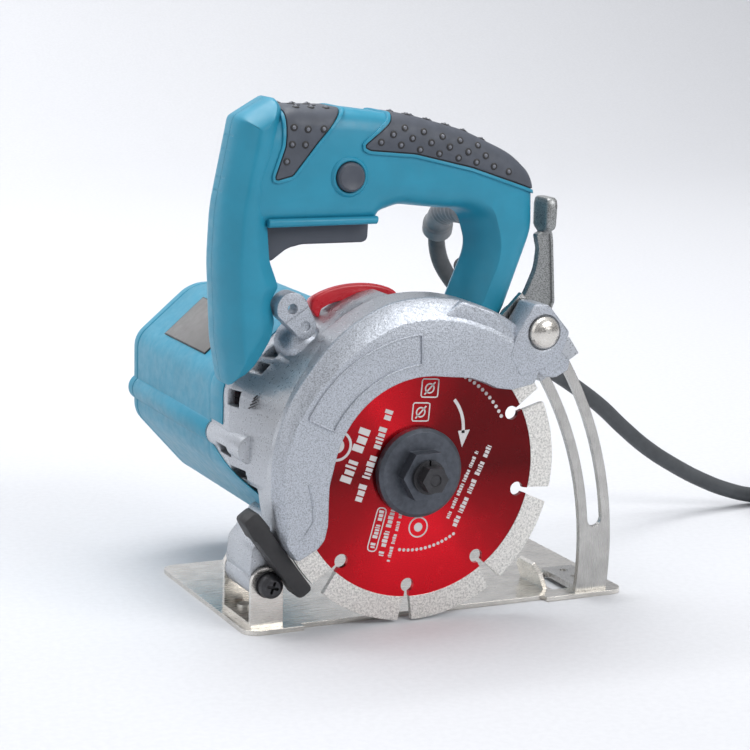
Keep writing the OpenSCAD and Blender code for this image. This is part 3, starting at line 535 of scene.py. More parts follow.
class Shape:
    """Collects the vertices and faces of one piece, in millimetres."""

    def __init__(self):
        self.verts = []
        self.faces = []

    def rows(self, rows, capped=True):
        """Skins closed rows of points that have equal counts."""
        base = len(self.verts)
        count = len(rows[0])
        for row in rows:
            self.verts.extend(row)
        for j in range(len(rows) - 1):
            for i in range(count):
                a = base + j * count + i
                b = base + j * count + (i + 1) % count
                self.faces.append((a, b, b + count, a + count))
        if capped:
            self.faces.append(tuple(reversed(range(base, base + count))))
            self.faces.append(tuple(range(len(self.verts) - count, len(self.verts))))
        return self

    def prism(self, loop, y0, y1, chamfer=0.0):
        """An outline in X and Z between y0 and y1, its edge chamfered at y0."""
        loop = counter_clockwise(loop)
        rows = [at(loop, y0), at(loop, y1)]
        if chamfer:
            step = chamfer if y1 > y0 else -chamfer
            rows = [at(inset(loop, chamfer), y0), at(loop, y0 + step), at(loop, y1)]
        return self.rows(rows)

    def lathe(self, profile, centre, steps=48):
        return self.rows(lathe_rows(profile, centre, steps))

    def dome(self, place, out, radius, height, rings=3, steps=10):
        """A low dome standing on a surface."""
        side = out.orthogonal().normalized()
        other = out.cross(side)
        rows = []
        for ring in range(rings + 1):
            rise = math.radians(80 * ring / rings)
            lifted = place + out * height * math.sin(rise)
            rows.append(hoop(lifted, side, other, radius * math.cos(rise), steps))
        return self.rows(rows)

    def tube(self, path, radius, steps=10):
        """A round bar along a path; radius is one number or one for each point."""
        path = points(*path)
        radii = radius if isinstance(radius, list) else [radius] * len(path)
        side = (path[1] - path[0]).orthogonal().normalized()
        rows = []
        for i, here in enumerate(path):
            along = (path[min(i + 1, len(path) - 1)] - path[max(i - 1, 0)]).normalized()
            side = (side - along * side.dot(along)).normalized()
            rows.append(hoop(here, side, along.cross(side), radii[i], steps))
        return self.rows(rows)

    def mesh(self, name):
        data = bpy.data.meshes.new(name)
        data.from_pydata([tuple(v * MM) for v in self.verts], [], self.faces)
        tidy = bmesh.new()
        tidy.from_mesh(data)
        bmesh.ops.remove_doubles(tidy, verts=tidy.verts, dist=5e-6)
        bmesh.ops.dissolve_degenerate(tidy, edges=tidy.edges, dist=2e-6)
        bmesh.ops.recalc_face_normals(tidy, faces=tidy.faces)
        tidy.to_mesh(data)
        tidy.free()
        return data

    def object(self, name):
        return add_object(name, self.mesh(name))


def settle(thing):
    """Applies the modifiers of a new piece."""
    bpy.context.view_layer.update()
    graph = bpy.context.evaluated_depsgraph_get()
    data = bpy.data.meshes.new_from_object(thing.evaluated_get(graph))
    thing.modifiers.clear()
    thing.data = data


def combine(thing, tool, operation):
    """Boolean of a piece with a tool object, which goes."""
    modifier = thing.modifiers.new("combine", "BOOLEAN")
    modifier.object = tool
    modifier.operation = operation
    modifier.solver = "MANIFOLD"
    settle(thing)
    bpy.data.objects.remove(tool)


def cut(thing, *tools):
    for tool in tools:
        combine(thing, tool, "DIFFERENCE")


def join(thing, *tools):
    for tool in tools:
        combine(thing, tool, "UNION")


def soften(thing, width, segments=2, angle=35):
    """Rounds the edges of a new piece."""
    modifier = thing.modifiers.new("soften", "BEVEL")
    modifier.width = width * MM
    modifier.segments = segments
    modifier.limit_method = "ANGLE"
    modifier.angle_limit = math.radians(angle)
    modifier.use_clamp_overlap = True
    settle(thing)


def finish_piece(thing, look, stands_for=(), smooth=35, body=HEAD):
    """Material, shading, body and stand-in of a new piece; its material slot holds the look's material.
    """
    thing.data.materials.clear()
    thing.data.materials.append(LOOKS[look])
    thing.data.polygons.foreach_set("use_smooth", [True] * len(thing.data.polygons))
    thing.data.set_sharp_from_angle(angle=math.radians(smooth))
    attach(thing, body)
    if stands_for:
        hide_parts(*stands_for)
    return thing


# ---------------------------------------------------------------- cord

CORD_D = 7.5
RELIEF = [
    (41, 13, 163), (41, 22, 163), (41, 31, 162), (41.5, 39, 159.5), (43, 46, 155.5),
    (45, 51.5, 150),
]
LEAD = [
    (49, 59, 141), (56, 66, 130.5), (67, 71, 119), (80, 75, 107.5), (94, 79, 96.5), (109, 82, 86),
    (124, 85, 76), (139, 87, 66.5), (154, 89, 56), (168, 90, 44), (182, 90.5, 33), (197, 90, 23.5),
    (213, 89, 15), (229, 88, 8.5), (245, 88, 4.5), (261, 89, 3.8), (276, 89.6, 3.8),
]
COIL_CENTRE = (290, 43)
COIL_START = 96  # degrees, where the lead meets the outer lane
COIL_TURNS = 5.267
OUTER_LANE = 46.75
# Moves of the winding from lane to lane and layer to layer: from turn, to turn, outwards, up
COIL_MOVES = [
    (0.70, 1.00, -CORD_D, 0), (1.56, 1.78, 0, CORD_D), (2.28, 2.58, CORD_D, 0),
    (3.14, 3.36, 0, CORD_D), (3.84, 4.14, -CORD_D, 0), (4.66, 4.88, 0, CORD_D),
    (4.93, 5.23, CORD_D, 0),
]
TAIL = [
    (336.9, 34, 26.2), (338.3, 25, 24.9), (341, 16, 21), (344, 7, 15.4), (346, -2, 10.2),
    (346.8, -12, 7.2), (347, -22, 6.5),
]


def coil_turns(steps=20):
    """Clockwise turns in two lanes and four layers, from the lead's end to the tail's start."""
    route = []
    for k in range(1, math.ceil(COIL_TURNS * steps) + 1):
        turn = min(k / steps, COIL_TURNS)
        radius, height = OUTER_LANE, CORD_D / 2 + 0.05
        for begin, end, outwards, up in COIL_MOVES:
            share = 0.5 - 0.5 * math.cos(math.pi * clamped((turn - begin) / (end - begin)))
            radius += outwards * share
            height += up * share
        angle = math.radians(COIL_START) - 2 * math.pi * turn
        x, y = COIL_CENTRE
        route.append((x + radius * math.cos(angle), y + radius * math.sin(angle), height))
    return route


def make_cord():
    route = RELIEF + LEAD + coil_turns() + TAIL
    data = bpy.data.curves.new("mains_cord", "CURVE")
    data.dimensions = "3D"
    spline = data.splines.new("BEZIER")
    spline.bezier_points.add(len(route) - 1)
    for point, place in zip(spline.bezier_points, route):
        point.co = Vector(place) * MM
        point.handle_left_type = point.handle_right_type = "AUTO"
    data.bevel_depth = CORD_D / 2 * MM
    data.bevel_resolution = 5
    data.resolution_u = 5
    data.use_fill_caps = True
    data.materials.append(LOOKS["cord_rubber"])
    cord = add_object("mains_cord", data)
    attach(cord, HEAD)
    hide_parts("cord_lead", "cord_coil", "cord_tail")
    make_relief()


# ---------------------------------------------------------------- handle

COLUMN = [
    (-75.2, 98, 3), (-69, 103.6, 5), (-62.8, 112.2, 15), (-58.9, 118.6, 8), (-57.4, 125.6, 8),
    (-59.6, 133, 4), (-56, 139.4, 3), (-60, 150, 12), (-61.3, 166, 20), (-60.8, 180, 15),
    (-56.2, 194, 12), (-55.6, 203, 10), (-53.4, 209.3, 4), (-57, 214.2, 4), (-71.6, 205.8, 5),
    (-78.9, 170, 80), (-80, 149, 80), (-78.5, 117, 40),
]
# Edges of the shells: inset at the front (or outside), inset at the rear (or inside), y
COLUMN_EDGE = [
    (0, 0, 5.0), (1.0, 0.1, 8.5), (2.9, 0.4, 12.3), (5.4, 5.2, 15.8), (6.3, 6.4, 16.4),
    (7.2, 7.6, 16.6),
]
BOW = [
    (-75, 163.6, 5), (-14.5, 163.6, 3), (-12.5, 167.6, 3), (-4, 170.2, 10), (27.5, 166.6, 9),
    (32.2, 151, 14), (22.8, 128.5, 30), (12, 102, 5), (34, 102, 5), (46, 127, 30), (57.6, 158, 25),
    (56.8, 180, 14), (46, 189.5, 30), (25, 199, 60), (1.5, 205.3, 60), (-24, 208.6, 60),
    (-52, 209.6, 6), (-64, 203, 5), (-72, 196, 5),
]
BOW_EDGE = [
    (0, 3.6, 7.5), (0.35, 5.1, 9.8), (1.3, 6.6, 11.8), (2.9, 8.0, 13.6), (5.2, 8.9, 14.8),
    (8.2, 9.6, 15.5),
]
FRONT_GRIP = [
    (-54.6, 218, 1), (-55.0, 205, 8), (-55.6, 195, 8), (-60.4, 181.6, 1.2), (-52.4, 183.6, 1.5),
    (-42.4, 195.9, 10), (-29.5, 210.5, 5), (-26, 218, 1),
]
REAR_GRIP = [
    (-4, 215, 1), (-10.5, 203.5, 6), (-22.4, 194.2, 1.2), (-19, 192.7, 2), (0.6, 191, 20),
    (26.3, 184.9, 30), (51.6, 176.4, 6), (64, 172.2, 1), (64, 204, 1), (30, 215, 1),
]
# Studs: (x, z) on both sides, then (x, y) on the back
FRONT_STUDS = (
    [(-52.2, 202.4), (-46.4, 201.6), (-39.6, 201.6), (-53, 195.8), (-47.4, 195.6), (-55.2, 189.2)],
    [(-49, 9.5), (-42.6, 9.5), (-36.2, 9.5), (-46, 3.2), (-39.4, 3.2)],
)
REAR_STUDS = (
    [(-14.8, 195.9), (-6, 194.6), (2.5, 192.6), (11.1, 190.8), (19.8, 188.9), (28, 187), (36, 185.1)]
    + [(43, 182.8), (-9.5, 198.9), (-1, 197.2), (7.4, 195.3), (15.7, 193.4), (24.2, 191.3)]
    + [(32.3, 189.5), (-4.2, 201.4), (4.2, 199.7), (12.7, 197.7), (20.8, 195.9), (29.1, 193.7)],
    [(0, 8), (8.5, 8), (17, 8), (25.5, 8), (34, 8), (4.2, 2.6), (12.7, 2.6), (21.2, 2.6), (29.8, 2.6)]
    + [(38.2, 2.6)],
)
BUTTON = (-28.0, 182.5)
HANDLE_SCREWS = ((-69, 146), (-62, 199), (-6, 192), (40, 176), (38, 140))
SCREW_HOLE = 3.7
LUG = (-52.0, 131.0)
CASTING_REAR = 25.0


def loop_of(corners, step=1.4):
    return counter_clockwise(even(rounded(corners), step))


def column_share(point):
    """1 at the front of the column, 0 at its rear."""
    return max(clamped((-66 - point.x) / 6), clamped((point.y - 200) / 7))


def bow_share(point):
    """0 on the inner side of the rear leg, 1 elsewhere."""
    inner = clamped((36 - point.x) / 4) * clamped((point.x - 6) / 5)
    return 1 - inner * clamped((168 - point.y) / 6)


SEAM = 0.12  # half the gap between the two shells


def half_handle(corners, edge, side, share, name):
    """One shell's side of an outline, its edge rounded as listed."""
    loop = loop_of(corners)
    rows = [at(loop, side * SEAM)]
    for front, rear, y in edge:
        rows.append(at(inset(loop, 1.0, lambda p: rear + (front - rear) * share(p)), side * y))
    return Shape().rows(rows).object(name)


def whole_bow(grow, name):
    """The bow between its grips as one solid, grown outwards."""
    loop = loop_of(BOW)
    levels = [(depth, -y - grow) for depth, _, y in reversed(BOW_EDGE)]
    levels += [(depth, y + grow) for depth, _, y in BOW_EDGE]
    return Shape().rows([at(inset(loop, depth - grow), y) for depth, y in levels]).object(name)


def prism(loop, y0, y1, name="tool"):
    return Shape().prism(loop, y0, y1).object(name)


def rod(centre, radius, y0, y1, steps=48):
    return prism(circle(centre, radius, steps), y0, y1)


def block(low, high):
    (x0, y0, z0), (x1, y1, z1) = low, high
    return prism(points((x0, z0), (x1, z0), (x1, z1), (x0, z1)), y0, y1)


def housing_loop(depth=0.0):
    """Motor housing outline: flats with rounded corners between them."""
    corners = [
        (-20, -43.8, 18), (20, -43.8, 18), (46.8, -14, 12), (46.8, 21, 12), (20, 43.9, 18),
        (-20, 43.9, 18), (-46.8, 21, 12), (-46.8, -14, 12),
    ]
    loop = even(rounded([(MOTOR[0] + x, MOTOR[1] + z, r) for x, z, r in corners], 8), 2.0)
    return inset(loop, depth)


def make_handle():
    for side, name in ((-1, "handle_shell_blade_side"), (1, "handle_shell_motor_side")):
        shell = half_handle(BOW, BOW_EDGE, side, bow_share, name.replace("handle_shell", "grip_shell"))
        join(shell, half_handle(COLUMN, COLUMN_EDGE, side, column_share, "tool"))
        cuts = [
            prism(housing_loop(-0.2), -25.2, CASTING_REAR + 1),
            prism(ring_sector(AXLE, 10, 70.2, 95, 208), -25.1, CASTING_REAR + 1.2),
            rod(AXLE, 72.4, -20, -14.7, 96),
            rod(LUG, 6.9, -18, -9.8),
            prism(points((-57.4, 129), (-51.8, 106), (-37, 112), (-45.4, 133)), -18.2, -9.7),
            block((5, -20.4, 89), (66, -9.9, 117)),
            block((-62, -7.6, 146), (-13, 7.6, 170)),
            rod(BUTTON, 6.2, -20, -10),
        ]
        for x, z in ((-73.0, 198.5), (-74.2, 193), (-76.4, 182), (-77.4, 176.8)):
            cuts.append(block((x - 6, -4.4, z - 0.3), (x, 4.4, z + 0.3)))
        if side > 0:
            cuts.append(rod((41, 163), 6.4, 4, 20))
            cuts += [rod(spot, SCREW_HOLE, 12.5, 20, 24) for spot in HANDLE_SCREWS]
        cut(shell, *cuts)
        finish_piece(shell, "housing_plastic", (name,), 28)
    make_button_ring()
    make_trigger_lip()


def make_button_ring():
    profile = [
        (6.1, -14.2), (6.1, -16.1), (6.5, -16.6), (7.2, -16.6), (7.8, -16.0), (8.3, -15.2),
        (8.3, -14.2),
    ]
    ring = Shape().rows(lathe_rows(profile + profile[:1], BUTTON), capped=False)
    finish_piece(ring.object("button_collar"), "housing_plastic")


def make_trigger_lip():
    """The bead along the shells' lower edge above the trigger."""
    outline = points((-62, 163.3), (-15.2, 163.3), (-14.8, 166.4), (-62, 166.8))
    for side, name in ((-1, "trigger_lip_blade_side"), (1, "trigger_lip_motor_side")):
        bead = Shape().prism(outline, side * 16.0, side * 8.2, 1.0).object(name)
        soften(bead, 0.35)
        finish_piece(bead, "housing_plastic")


def grip_layer(outline, grow, margin, name):
    """The part of the bow, grown outwards, that lies inside a grip's outline plus a margin."""
    layer = whole_bow(grow, name)
    combine(layer, prism(inset(outline, -margin), -20, 20), "INTERSECT")
    return layer


def make_grips():
    for name, corners, studs in (
        ("front_grip", FRONT_GRIP, FRONT_STUDS),
        ("rear_grip", REAR_GRIP, REAR_STUDS),
    ):
        outline = loop_of(corners, 1.2)
        pad = grip_layer(outline, 0.55, -0.35, name + "_pads")
        soften(pad, 0.5, 2, 50)
        surface = BVHTree.FromObject(pad, bpy.context.evaluated_depsgraph_get())
        finish_piece(pad, "grip_rubber", (name + "_inserts",), 40)
        # A black layer under the pad, seen only at the bottom of the groove round it: painted shade in
        # the groove
        gap = grip_layer(outline, 0.08, 0.25, name + "_gap")
        finish_piece(gap, "black_plastic", smooth=40)
        bead = grip_layer(outline, 0.75, 1.5, name + "_rim")
        cut(bead, prism(inset(outline, -0.25), -21, 21), whole_bow(-1.0, "tool"))
        soften(bead, 0.3, 2, 50)
        finish_piece(bead, "housing_plastic", smooth=40)
        make_studs(name, surface, *studs)


def shade_collar_rows(place, out):
    """A thin raised collar about a stud, in near-black rubber: painted shade of the groove round the
    stud.
    """
    side = out.orthogonal().normalized()
    profile = ((1.5, -0.4), (1.5, 0.12), (1.25, 0.3), (0.4, 0.3))  # radius, lift
    return [hoop(place + out * lift, side, out.cross(side), radius, 16) for radius, lift in profile]


def make_studs(name, surface, spots, tops):
    """Low domes in dark rings, the rings painted shade of the groove round each stud: spots are (x, z) on
    both sides, tops are (x, y) on the back.
    """
    domes, rings = Shape(), Shape()
    rays = [(Vector((x, y, z)), Vector((0, -y, 0)).normalized()) for x, z in spots for y in (-30, 30)]
    rays += [(Vector((x, side * y, 240)), Vector((0, 0, -1))) for x, y in tops for side in (-1, 1)]
    for start, way in rays:
        hit, normal, _, _ = surface.ray_cast(start * MM, way)
        if hit is None:
            continue
        hit = hit / MM
        domes.dome(hit - normal * 0.2, normal, 0.9, 1.05)
        # Near-black collars round the studs: painted shade of the groove round each stud
        rings.rows(shade_collar_rows(hit, normal))
    finish_piece(domes.object(name + "_studs"), "stud_rubber", smooth=60)
    finish_piece(rings.object(name + "_stud_shade_rings"), "flap_rubber", smooth=60)


def make_trigger():
    corners = [
        (-60, 149.2, 1), (-57.2, 148.8, 2), (-50.5, 153.6, 10), (-44, 155, 10), (-15.4, 154.8, 3),
        (-15.0, 168.5, 1), (-20, 168.5, 1), (-22, 164.6, 1), (-60, 164.6, 1),
    ]
    lever = Shape().prism(loop_of(corners, 1.0), -7, 7).object("trigger_lever")
    soften(lever, 1.1, 3, 50)
    finish_piece(lever, "trigger_plastic", ("trigger",), 40, body="trigger_lever")
    profile = [
        (0.01, -13.2), (5.85, -13.2), (5.85, -17.5), (5.5, -18.2), (4.9, -18.6), (4.3, -18.5),
        (3.2, -18.1), (1.6, -17.9), (0.01, -17.85),
    ]
    button = Shape().lathe(profile, BUTTON).object("lock_on_cap")
    finish_piece(button, "trigger_plastic", ("lock_button",), 40, body="lock_on_button")


# ---------------------------------------------------------------- motor housing

RIDGE = (-65.6, 73.5)
RIDGE_RADIUS = 6.0


def housing_piece(name, *stations):
    """Rows of the housing's outline at stations (y, inset)."""
    return Shape().rows([at(housing_loop(depth), y) for y, depth in stations]).object(name)


def make_motor_housing():
    hull = housing_piece(
        "motor_shell", (25.0, 0.5), (25.5, 0), (30, 0), (30.4, 0.35), (117.4, 0.35), (117.9, 0.85)
    )
    join(hull, rod(RIDGE, RIDGE_RADIUS, 25.3, 117.7, 40))
    soften(hull, 0.8, 2, 30)
    finish_piece(hull, "housing_plastic", ("motor_housing",), 30)
    cover = housing_piece(
        "rear_cap", (118, 0.8), (118.5, 0.3), (122, 0.3), (124.4, 1.0), (126.6, 2.7), (128.4, 5.0),
        (129.6, 7.6), (130, 10),
    )
    join(cover, rod(RIDGE, RIDGE_RADIUS, 118.3, 123.5, 40))
    for i in range(-3, 4):
        x = MOTOR[0] + 8 * i
        cut(cover, block((x - 1.5, 126, MOTOR[1] - 18), (x + 1.5, 131, MOTOR[1] + 18)))
    for z in (-38.5, 38.5):
        cut(cover, rod((MOTOR[0], MOTOR[1] + z), 3.4, 124, 131, 24))
    finish_piece(cover, "housing_plastic", ("rear_cover",), 30)
    make_label()


def make_label():
    """Blank rating plate with a thin border, on the flat above the ridge."""
    low, high = (Vector(MOTOR) + Vector(corner) for corner in ((-41.4, 25.6), (-23.4, 41.0)))
    along = (high - low).normalized()
    out = Vector((-along.y, along.x))

    def panel(margin, lift, name, look):
        a, b = low + along * margin + out * lift, high - along * margin + out * lift
        section = (a, b, b - out, a - out)
        piece = Shape().rows([at(section, y) for y in (48 + margin, 97 - margin)]).object(name)
        soften(piece, 0.12, 2, 50)
        return finish_piece(piece, look, ("nameplate",) if margin == 0 else ())

    panel(0, 0.18, "label_border", "black_plastic")
    panel(0.5, 0.26, "label_face", "plate_film")


# ---------------------------------------------------------------- castings

SIDE_TOP, SIDE_RIDGE, SIDE_FOOT = 79.6, 70.6, 56.0  # heights where the skirt's front edge steps
GUARD_HOLLOW = 63.6  # radius
CASE_JOINT = 5.0  # y where the casting takes the housing's outline
GUARD_BACK = -27.9  # y behind the guard's front plate


def wedge(outline, x0, x1):
    """A tool with an outline in Y and Z, between x0 and x1."""
    return Shape().rows([[Vector((x, y, z)) for y, z in outline] for x in (x0, x1)]).object("tool")


def guard_radius(angle):
    """The guard's rim stands closer to the blade at the front than on top."""
    return 65 + 1.7 * clamped((180 - angle) / 40) + 5.3 * clamped((138 - angle) / 36)


def rim(grow, start, end, steps):
    """Points along the guard's rim, grown outwards."""
    angles = [start + (end - start) * k / steps for k in range(steps + 1)]
    return [arc(AXLE, guard_radius(angle) + grow, angle, angle, 1)[0] for angle in angles]


def disc_loop(depth=0.0):
    """The casting's part beside the guard."""
    return arc(AXLE, 8, 203 - depth, 97 + depth, 8) + rim(-0.5 - depth, 97 + depth, 203 - depth, 60)


def shoulder():
    """Casting wall that runs from the housing's outline in to the guard's rim."""
    outline = housing_loop()
    rows = {CASE_JOINT: [], GUARD_BACK: []}
    for k in range(61):
        angle = 112 + 91 * k / 60
        way = heading(angle)
        reach = guard_radius(angle) - 0.6
        widest = reach
        for a, b in zip(outline, outline[1:] + outline[:1]):
            edge, start = b - a, a - Vector(AXLE)
            turn = way.cross(edge)
            if abs(turn) > 1e-9 and 0 <= start.cross(way) / turn <= 1 and start.cross(edge) / turn > 0:
                widest = max(widest, start.cross(edge) / turn)
        for y, radius in ((CASE_JOINT, widest), (GUARD_BACK, reach)):
            rows[y].append(Vector(AXLE) + way * radius)
            rows[y].insert(0, Vector(AXLE) + way * (reach - 3))
    return Shape().rows([at(rows[y], y) for y in rows]).object("tool")


def make_gear_case():
    case = prism(disc_loop(), -15, 5, "gear_case")
    join(case, prism(disc_loop(2.0), 4.9, 12), shoulder())
    cut(case, wedge([(27, SIDE_RIDGE), (-14, SIDE_FOOT), (-14, 20), (27, 20)], -90, -40))
    join(
        case,
        prism(housing_loop(), CASE_JOINT - 0.2, CASTING_REAR),
        rod(RIDGE, RIDGE_RADIUS, -10, CASTING_REAR + 2, 40),
        rod(AXLE, 19.6, -18.5, -14),
    )
    hollows = ((housing_loop(6.5), -12, 24), (housing_loop(3.2), 6, 24), (disc_loop(3.2), -12, 3))
    cut(case, *(prism(*hollow) for hollow in hollows))
    windows = (
        ((-76, -1, 89), (-60, 7.5, 95.6)), ((-62, -3.4, 108.3), (-46, 4, 112.6)),
        ((-66, -4.4, 102.6), (-50, 3, 106.6)), ((-76, 3.5, 67.8), (-60, 15, 72.2)),
        ((-76, -7.5, 60.4), (-60, 4.5, 64.4)), ((-76, -14, 55.4), (-60, -5.5, 58.8)),
    )
    cut(case, *(block(low, high) for low, high in windows))
    soften(case, 0.9, 2, 50)
    finish_piece(case, "smooth_casting", ("gear_housing",), 32)
    make_lug()
    make_pivot_arm()


def make_lug():
    """Cast ear before the handle's foot, with an open hole, a blind one and a parting line."""
    ends = arc(LUG, 6.6, 205, 25, 16) + arc((-46.4, 123.4), 4.7, 25, -155, 12)
    lug = prism(loop_of([(p.x, p.y, 0) for p in ends], 1.0), -17, -9, "handle_lug")
    root = [(0.01, -14.6), (3.5, -14.4), (6.6, -12.4), (8.8, -8), (9.2, 0), (0.01, 0)]
    join(lug, Shape().lathe(root, (-43.6, 115.2)).object("tool"))
    soften(lug, 0.7, 3, 50)
    cut(lug, rod(LUG, 2.1, -20, -9, 24), rod((-46.2, 123.8), 1.9, -18, -16, 24))
    line = points((-57.4, 123.6), (-42.4, 133.2), (-42.6, 133.5), (-57.6, 123.9))
    cut(lug, prism(line, -17.6, -16.7))
    finish_piece(lug, "cast_alloy", smooth=32)


def make_pivot_arm():
    corners = [(-68.9, 21, 6), (-67.6, 34, 2), (-58, 46, 1), (-48, 50, 1), (-55.4, 17, 6)]
    arm = prism(loop_of(corners), -16.4, 9.6, "pivot_arm")
    join(arm, rod(PIVOT, 6.9, -16.4, 9.6, 40))
    cut(arm, rod(PIVOT, BOLT_HOLE, -20, 20, 32))
    soften(arm, 0.6, 2, 50)
    finish_piece(arm, "smooth_casting", smooth=32)


def make_skirt():
    """The housing's sleeve over the casting: straight above the ridge, stepping away below it."""
    skirt = Shape().rows([at(housing_loop(-0.4), y) for y in (-14, 25.6)]).object("housing_skirt")
    below_ridge = [(-20, SIDE_RIDGE), (26, SIDE_RIDGE), (-14, SIDE_FOOT), (-20, SIDE_FOOT)]
    cut(
        skirt,
        prism(housing_loop(0.15), -20, 30),
        wedge([(-20, SIDE_TOP), (12, SIDE_TOP), (12, 140), (-20, 140)], -90, 60),
        wedge([(-20, SIDE_RIDGE), (27, SIDE_RIDGE), (27, SIDE_TOP), (-20, SIDE_TOP)], -90, 60),
        wedge(below_ridge, -90, 60),
        block((-46, -20, 20), (60, 25.2, SIDE_RIDGE)),
    )
    soften(skirt, 0.2, 2, 50)
    finish_piece(skirt, "housing_plastic", smooth=32)


GUARD_WINDOW = [
    (-55.3, 31.6, 2), (-46.1, 36.5, 3), (-43.2, 40, 4), (-41.8, 46, 8), (-41.5, 62, 10),
]
EAR = [
    (37, 110, 2), (39.6, 118.5, 2), (47.4, 130.9, 2), (53.8, 130.2, 2), (64, 118.4, 2), (60.8, 109.8, 2),
    (54, 104.6, 4), (42, 101, 2),
]
LUMP = [
    (4, 126.2, 2), (15.4, 133.6, 2.5), (30.4, 128.2, 2.5), (47, 110, 2), (41.6, 104.4, 2),
    (33, 114.6, 3), (22.4, 121.6, 3),
]
FINGER = [
    (50, 103.6, 2), (54, 109.4, 2), (62, 110.2, 2), (66.6, 106.4, 2), (66, 101.8, 2), (60, 98.9, 3),
    (53, 99.8, 2),
]


def guard_loop():
    corners = [(*p, 1.5) for p in rim(0, 41, 203, 84)]
    corners += GUARD_WINDOW
    corners += [(*p, 1.5) for p in arc(AXLE, 40, 168, 80, 24)]
    corners += [(19, 101.4, 5), (26, 98.9, 5), (31.4, 96.3, 4), (38.5, 95.2, 4), (49, 97.2, 3)]
    return loop_of(corners, 1.3)


def guard_weight(point):
    """The broad chamfer runs round the outer rim only."""
    arm = point - Vector(AXLE)
    angle = math.degrees(math.atan2(arm.y, arm.x)) % 360
    outer = clamped((arm.length - guard_radius(angle) + 5) / 4)
    upper = clamped((point.y - 80) / 50)
    return 0.14 + (0.52 + 0.9 * upper) * outer * clamped((point.y - 40) / 6)


def make_guard():
    loop = guard_loop()
    profile = ((5.6, -34.0), (5.2, -33.8), (0.9, -30.3), (0.2, -29.4), (0.0, -28.6), (0.0, -28.0))
    face = [at(inset(loop, depth, guard_weight), y) for depth, y in profile]
    guard = Shape().rows(face).object("guard_shell")
    cut(guard, rod(AXLE, GUARD_HOLLOW, -31, GUARD_BACK, 96), block((38, -31, 90), (60, GUARD_BACK, 104)))
    finish_piece(guard, "cast_alloy", ("blade_guard",), 20)
    wall = prism(rim(0, 57, 203, 90) + arc(AXLE, GUARD_HOLLOW, 203, 57, 90), -28.6, -15, "guard_wall")
    web = prism(ring_sector(AXLE, 20, 64, 57, 203, 90), -18, -15)
    join(wall, web, prism(ring_sector(PIVOT, 141.4, 162, 32.6, 35.6, 6), -24, -15))
    cut(wall, prism(ring_sector(PIVOT, 142.8, 159.2, 24, 78, 60), -20.1, -16.4))
    finish_piece(wall, "smooth_casting", smooth=32)
    make_guard_blocks()
    make_guard_marks()


def make_guard_blocks():
    """The clamp's ear, the lump behind it and the finger below."""
    for name, corners, y0, y1, edge in (
        ("guard_ear", EAR, -34.2, -21, 1.5),
        ("guard_lump", LUMP, -33.2, -20.5, 1.1),
        ("guard_finger", FINGER, -31.5, -21, 1.3),
    ):
        piece = prism(loop_of(corners, 1.2), y0, y1, name)
        if name == "guard_ear":
            cut(piece, rod(CLAMP, 7.4, -40, -33.4, 40), rod(CLAMP, BOLT_HOLE, -40, -20, 32))
        soften(piece, edge, 3, 50)
        finish_piece(piece, "cast_alloy", smooth=40)


def make_guard_marks():
    """A plain panel where the lettering was, a rib, and foundry marks on the casting."""
    panel = loop_of([(*p, 1) for p in ring_sector(AXLE, 45.5, 58.5, 93, 153, 40)], 1.2)
    bead = prism(panel, -34.8, -33.5, "guard_panel")
    cut(bead, prism(inset(panel, 0.8), -36, -33.2))
    soften(bead, 0.2, 2, 50)
    finish_piece(bead, "cast_alloy", smooth=40)
    path = at(points((-51, 63.2), (-49.1, 55), (-49.1, 48), (-52.8, 42.6)), -34.0)
    finish_piece(Shape().tube(path, 0.45).object("guard_rib"), "cast_alloy", smooth=40)
    marks = Shape()
    for k in range(4):
        x, z = -66.6 + 0.5 * k, 90.4 + 1.3 * k
        marks.tube([(x, -8.4 - 0.4 * k, z), (x + 0.9, -12.4 + 0.4 * k, z + 1.6)], 0.35)
    finish_piece(marks.object("casting_marks"), "black_screws", smooth=40)


def make_flap():
    """Bar of hard rubber along the guard's lower edge."""
    corners = (
        (-20.8, -3.6, 2), (-11.5, -4.6, 1), (-10.5, -3.9, 1), (21.5, -3.9, 3), (21.5, 3.2, 2),
        (-10.5, 3.2, 1), (-11.5, 3.9, 1), (-20.8, 3.4, 2),
    )
    loop = loop_of(turned_corners(corners, (-61.6, 34.6), -54), 1.0)
    bar = prism(loop, -29.5, -19.5, "rubber_bar")
    soften(bar, 0.9, 2, 40)
    finish_piece(bar, "flap_rubber", ("splash_flap",))


def make_visor():
    """Thin red hood on an arc, its ends turned down."""
    centre, radius, steps = (-16.0, 103.0), 33.0, 40
    section = (
        (1.6, -0.2), (1.8, 0.8), (3.4, 1.3), (7, 0.2), (12, -1.6), (12, -3.4), (7, -2.6),
        (4.2, -5.0), (1.8, -5.0),
    )
    rows = []
    for k in range(steps + 1):
        fall = 3.6 * max(0, (k - 35) / 5) ** 2 + 2.0 * max(0, (5 - k) / 5) ** 2
        flat = 0.6 * math.cos(math.radians(180 * abs(k - 20) / 20))
        angle = math.radians(52 + 78 * k / steps)
        row = []
        for y, lift in section:
            reach = radius - fall - flat + lift
            x = centre[0] + reach * math.cos(angle)
            row.append(Vector((x, y, centre[1] + reach * math.sin(angle))))
        rows.append(row)
    hood = Shape().rows(rows).object("exhaust_visor")
    soften(hood, 0.35, 2, 40)
    finish_piece(hood, "visor_plastic", ("exhaust_deflector",), 40)


# ---------------------------------------------------------------- depth clamp lever

LEVER_WEB = [
    (44.4, 119.2, 3), (53.8, 131.2, 20), (58.6, 142, 20), (59.4, 150, 3), (58, 156, 1),
    (60.6, 157.4, 1), (65.2, 157.4, 1), (65.8, 153.4, 1), (67.6, 127.5, 3), (61, 112.6, 6),
    (50, 111, 6),
]
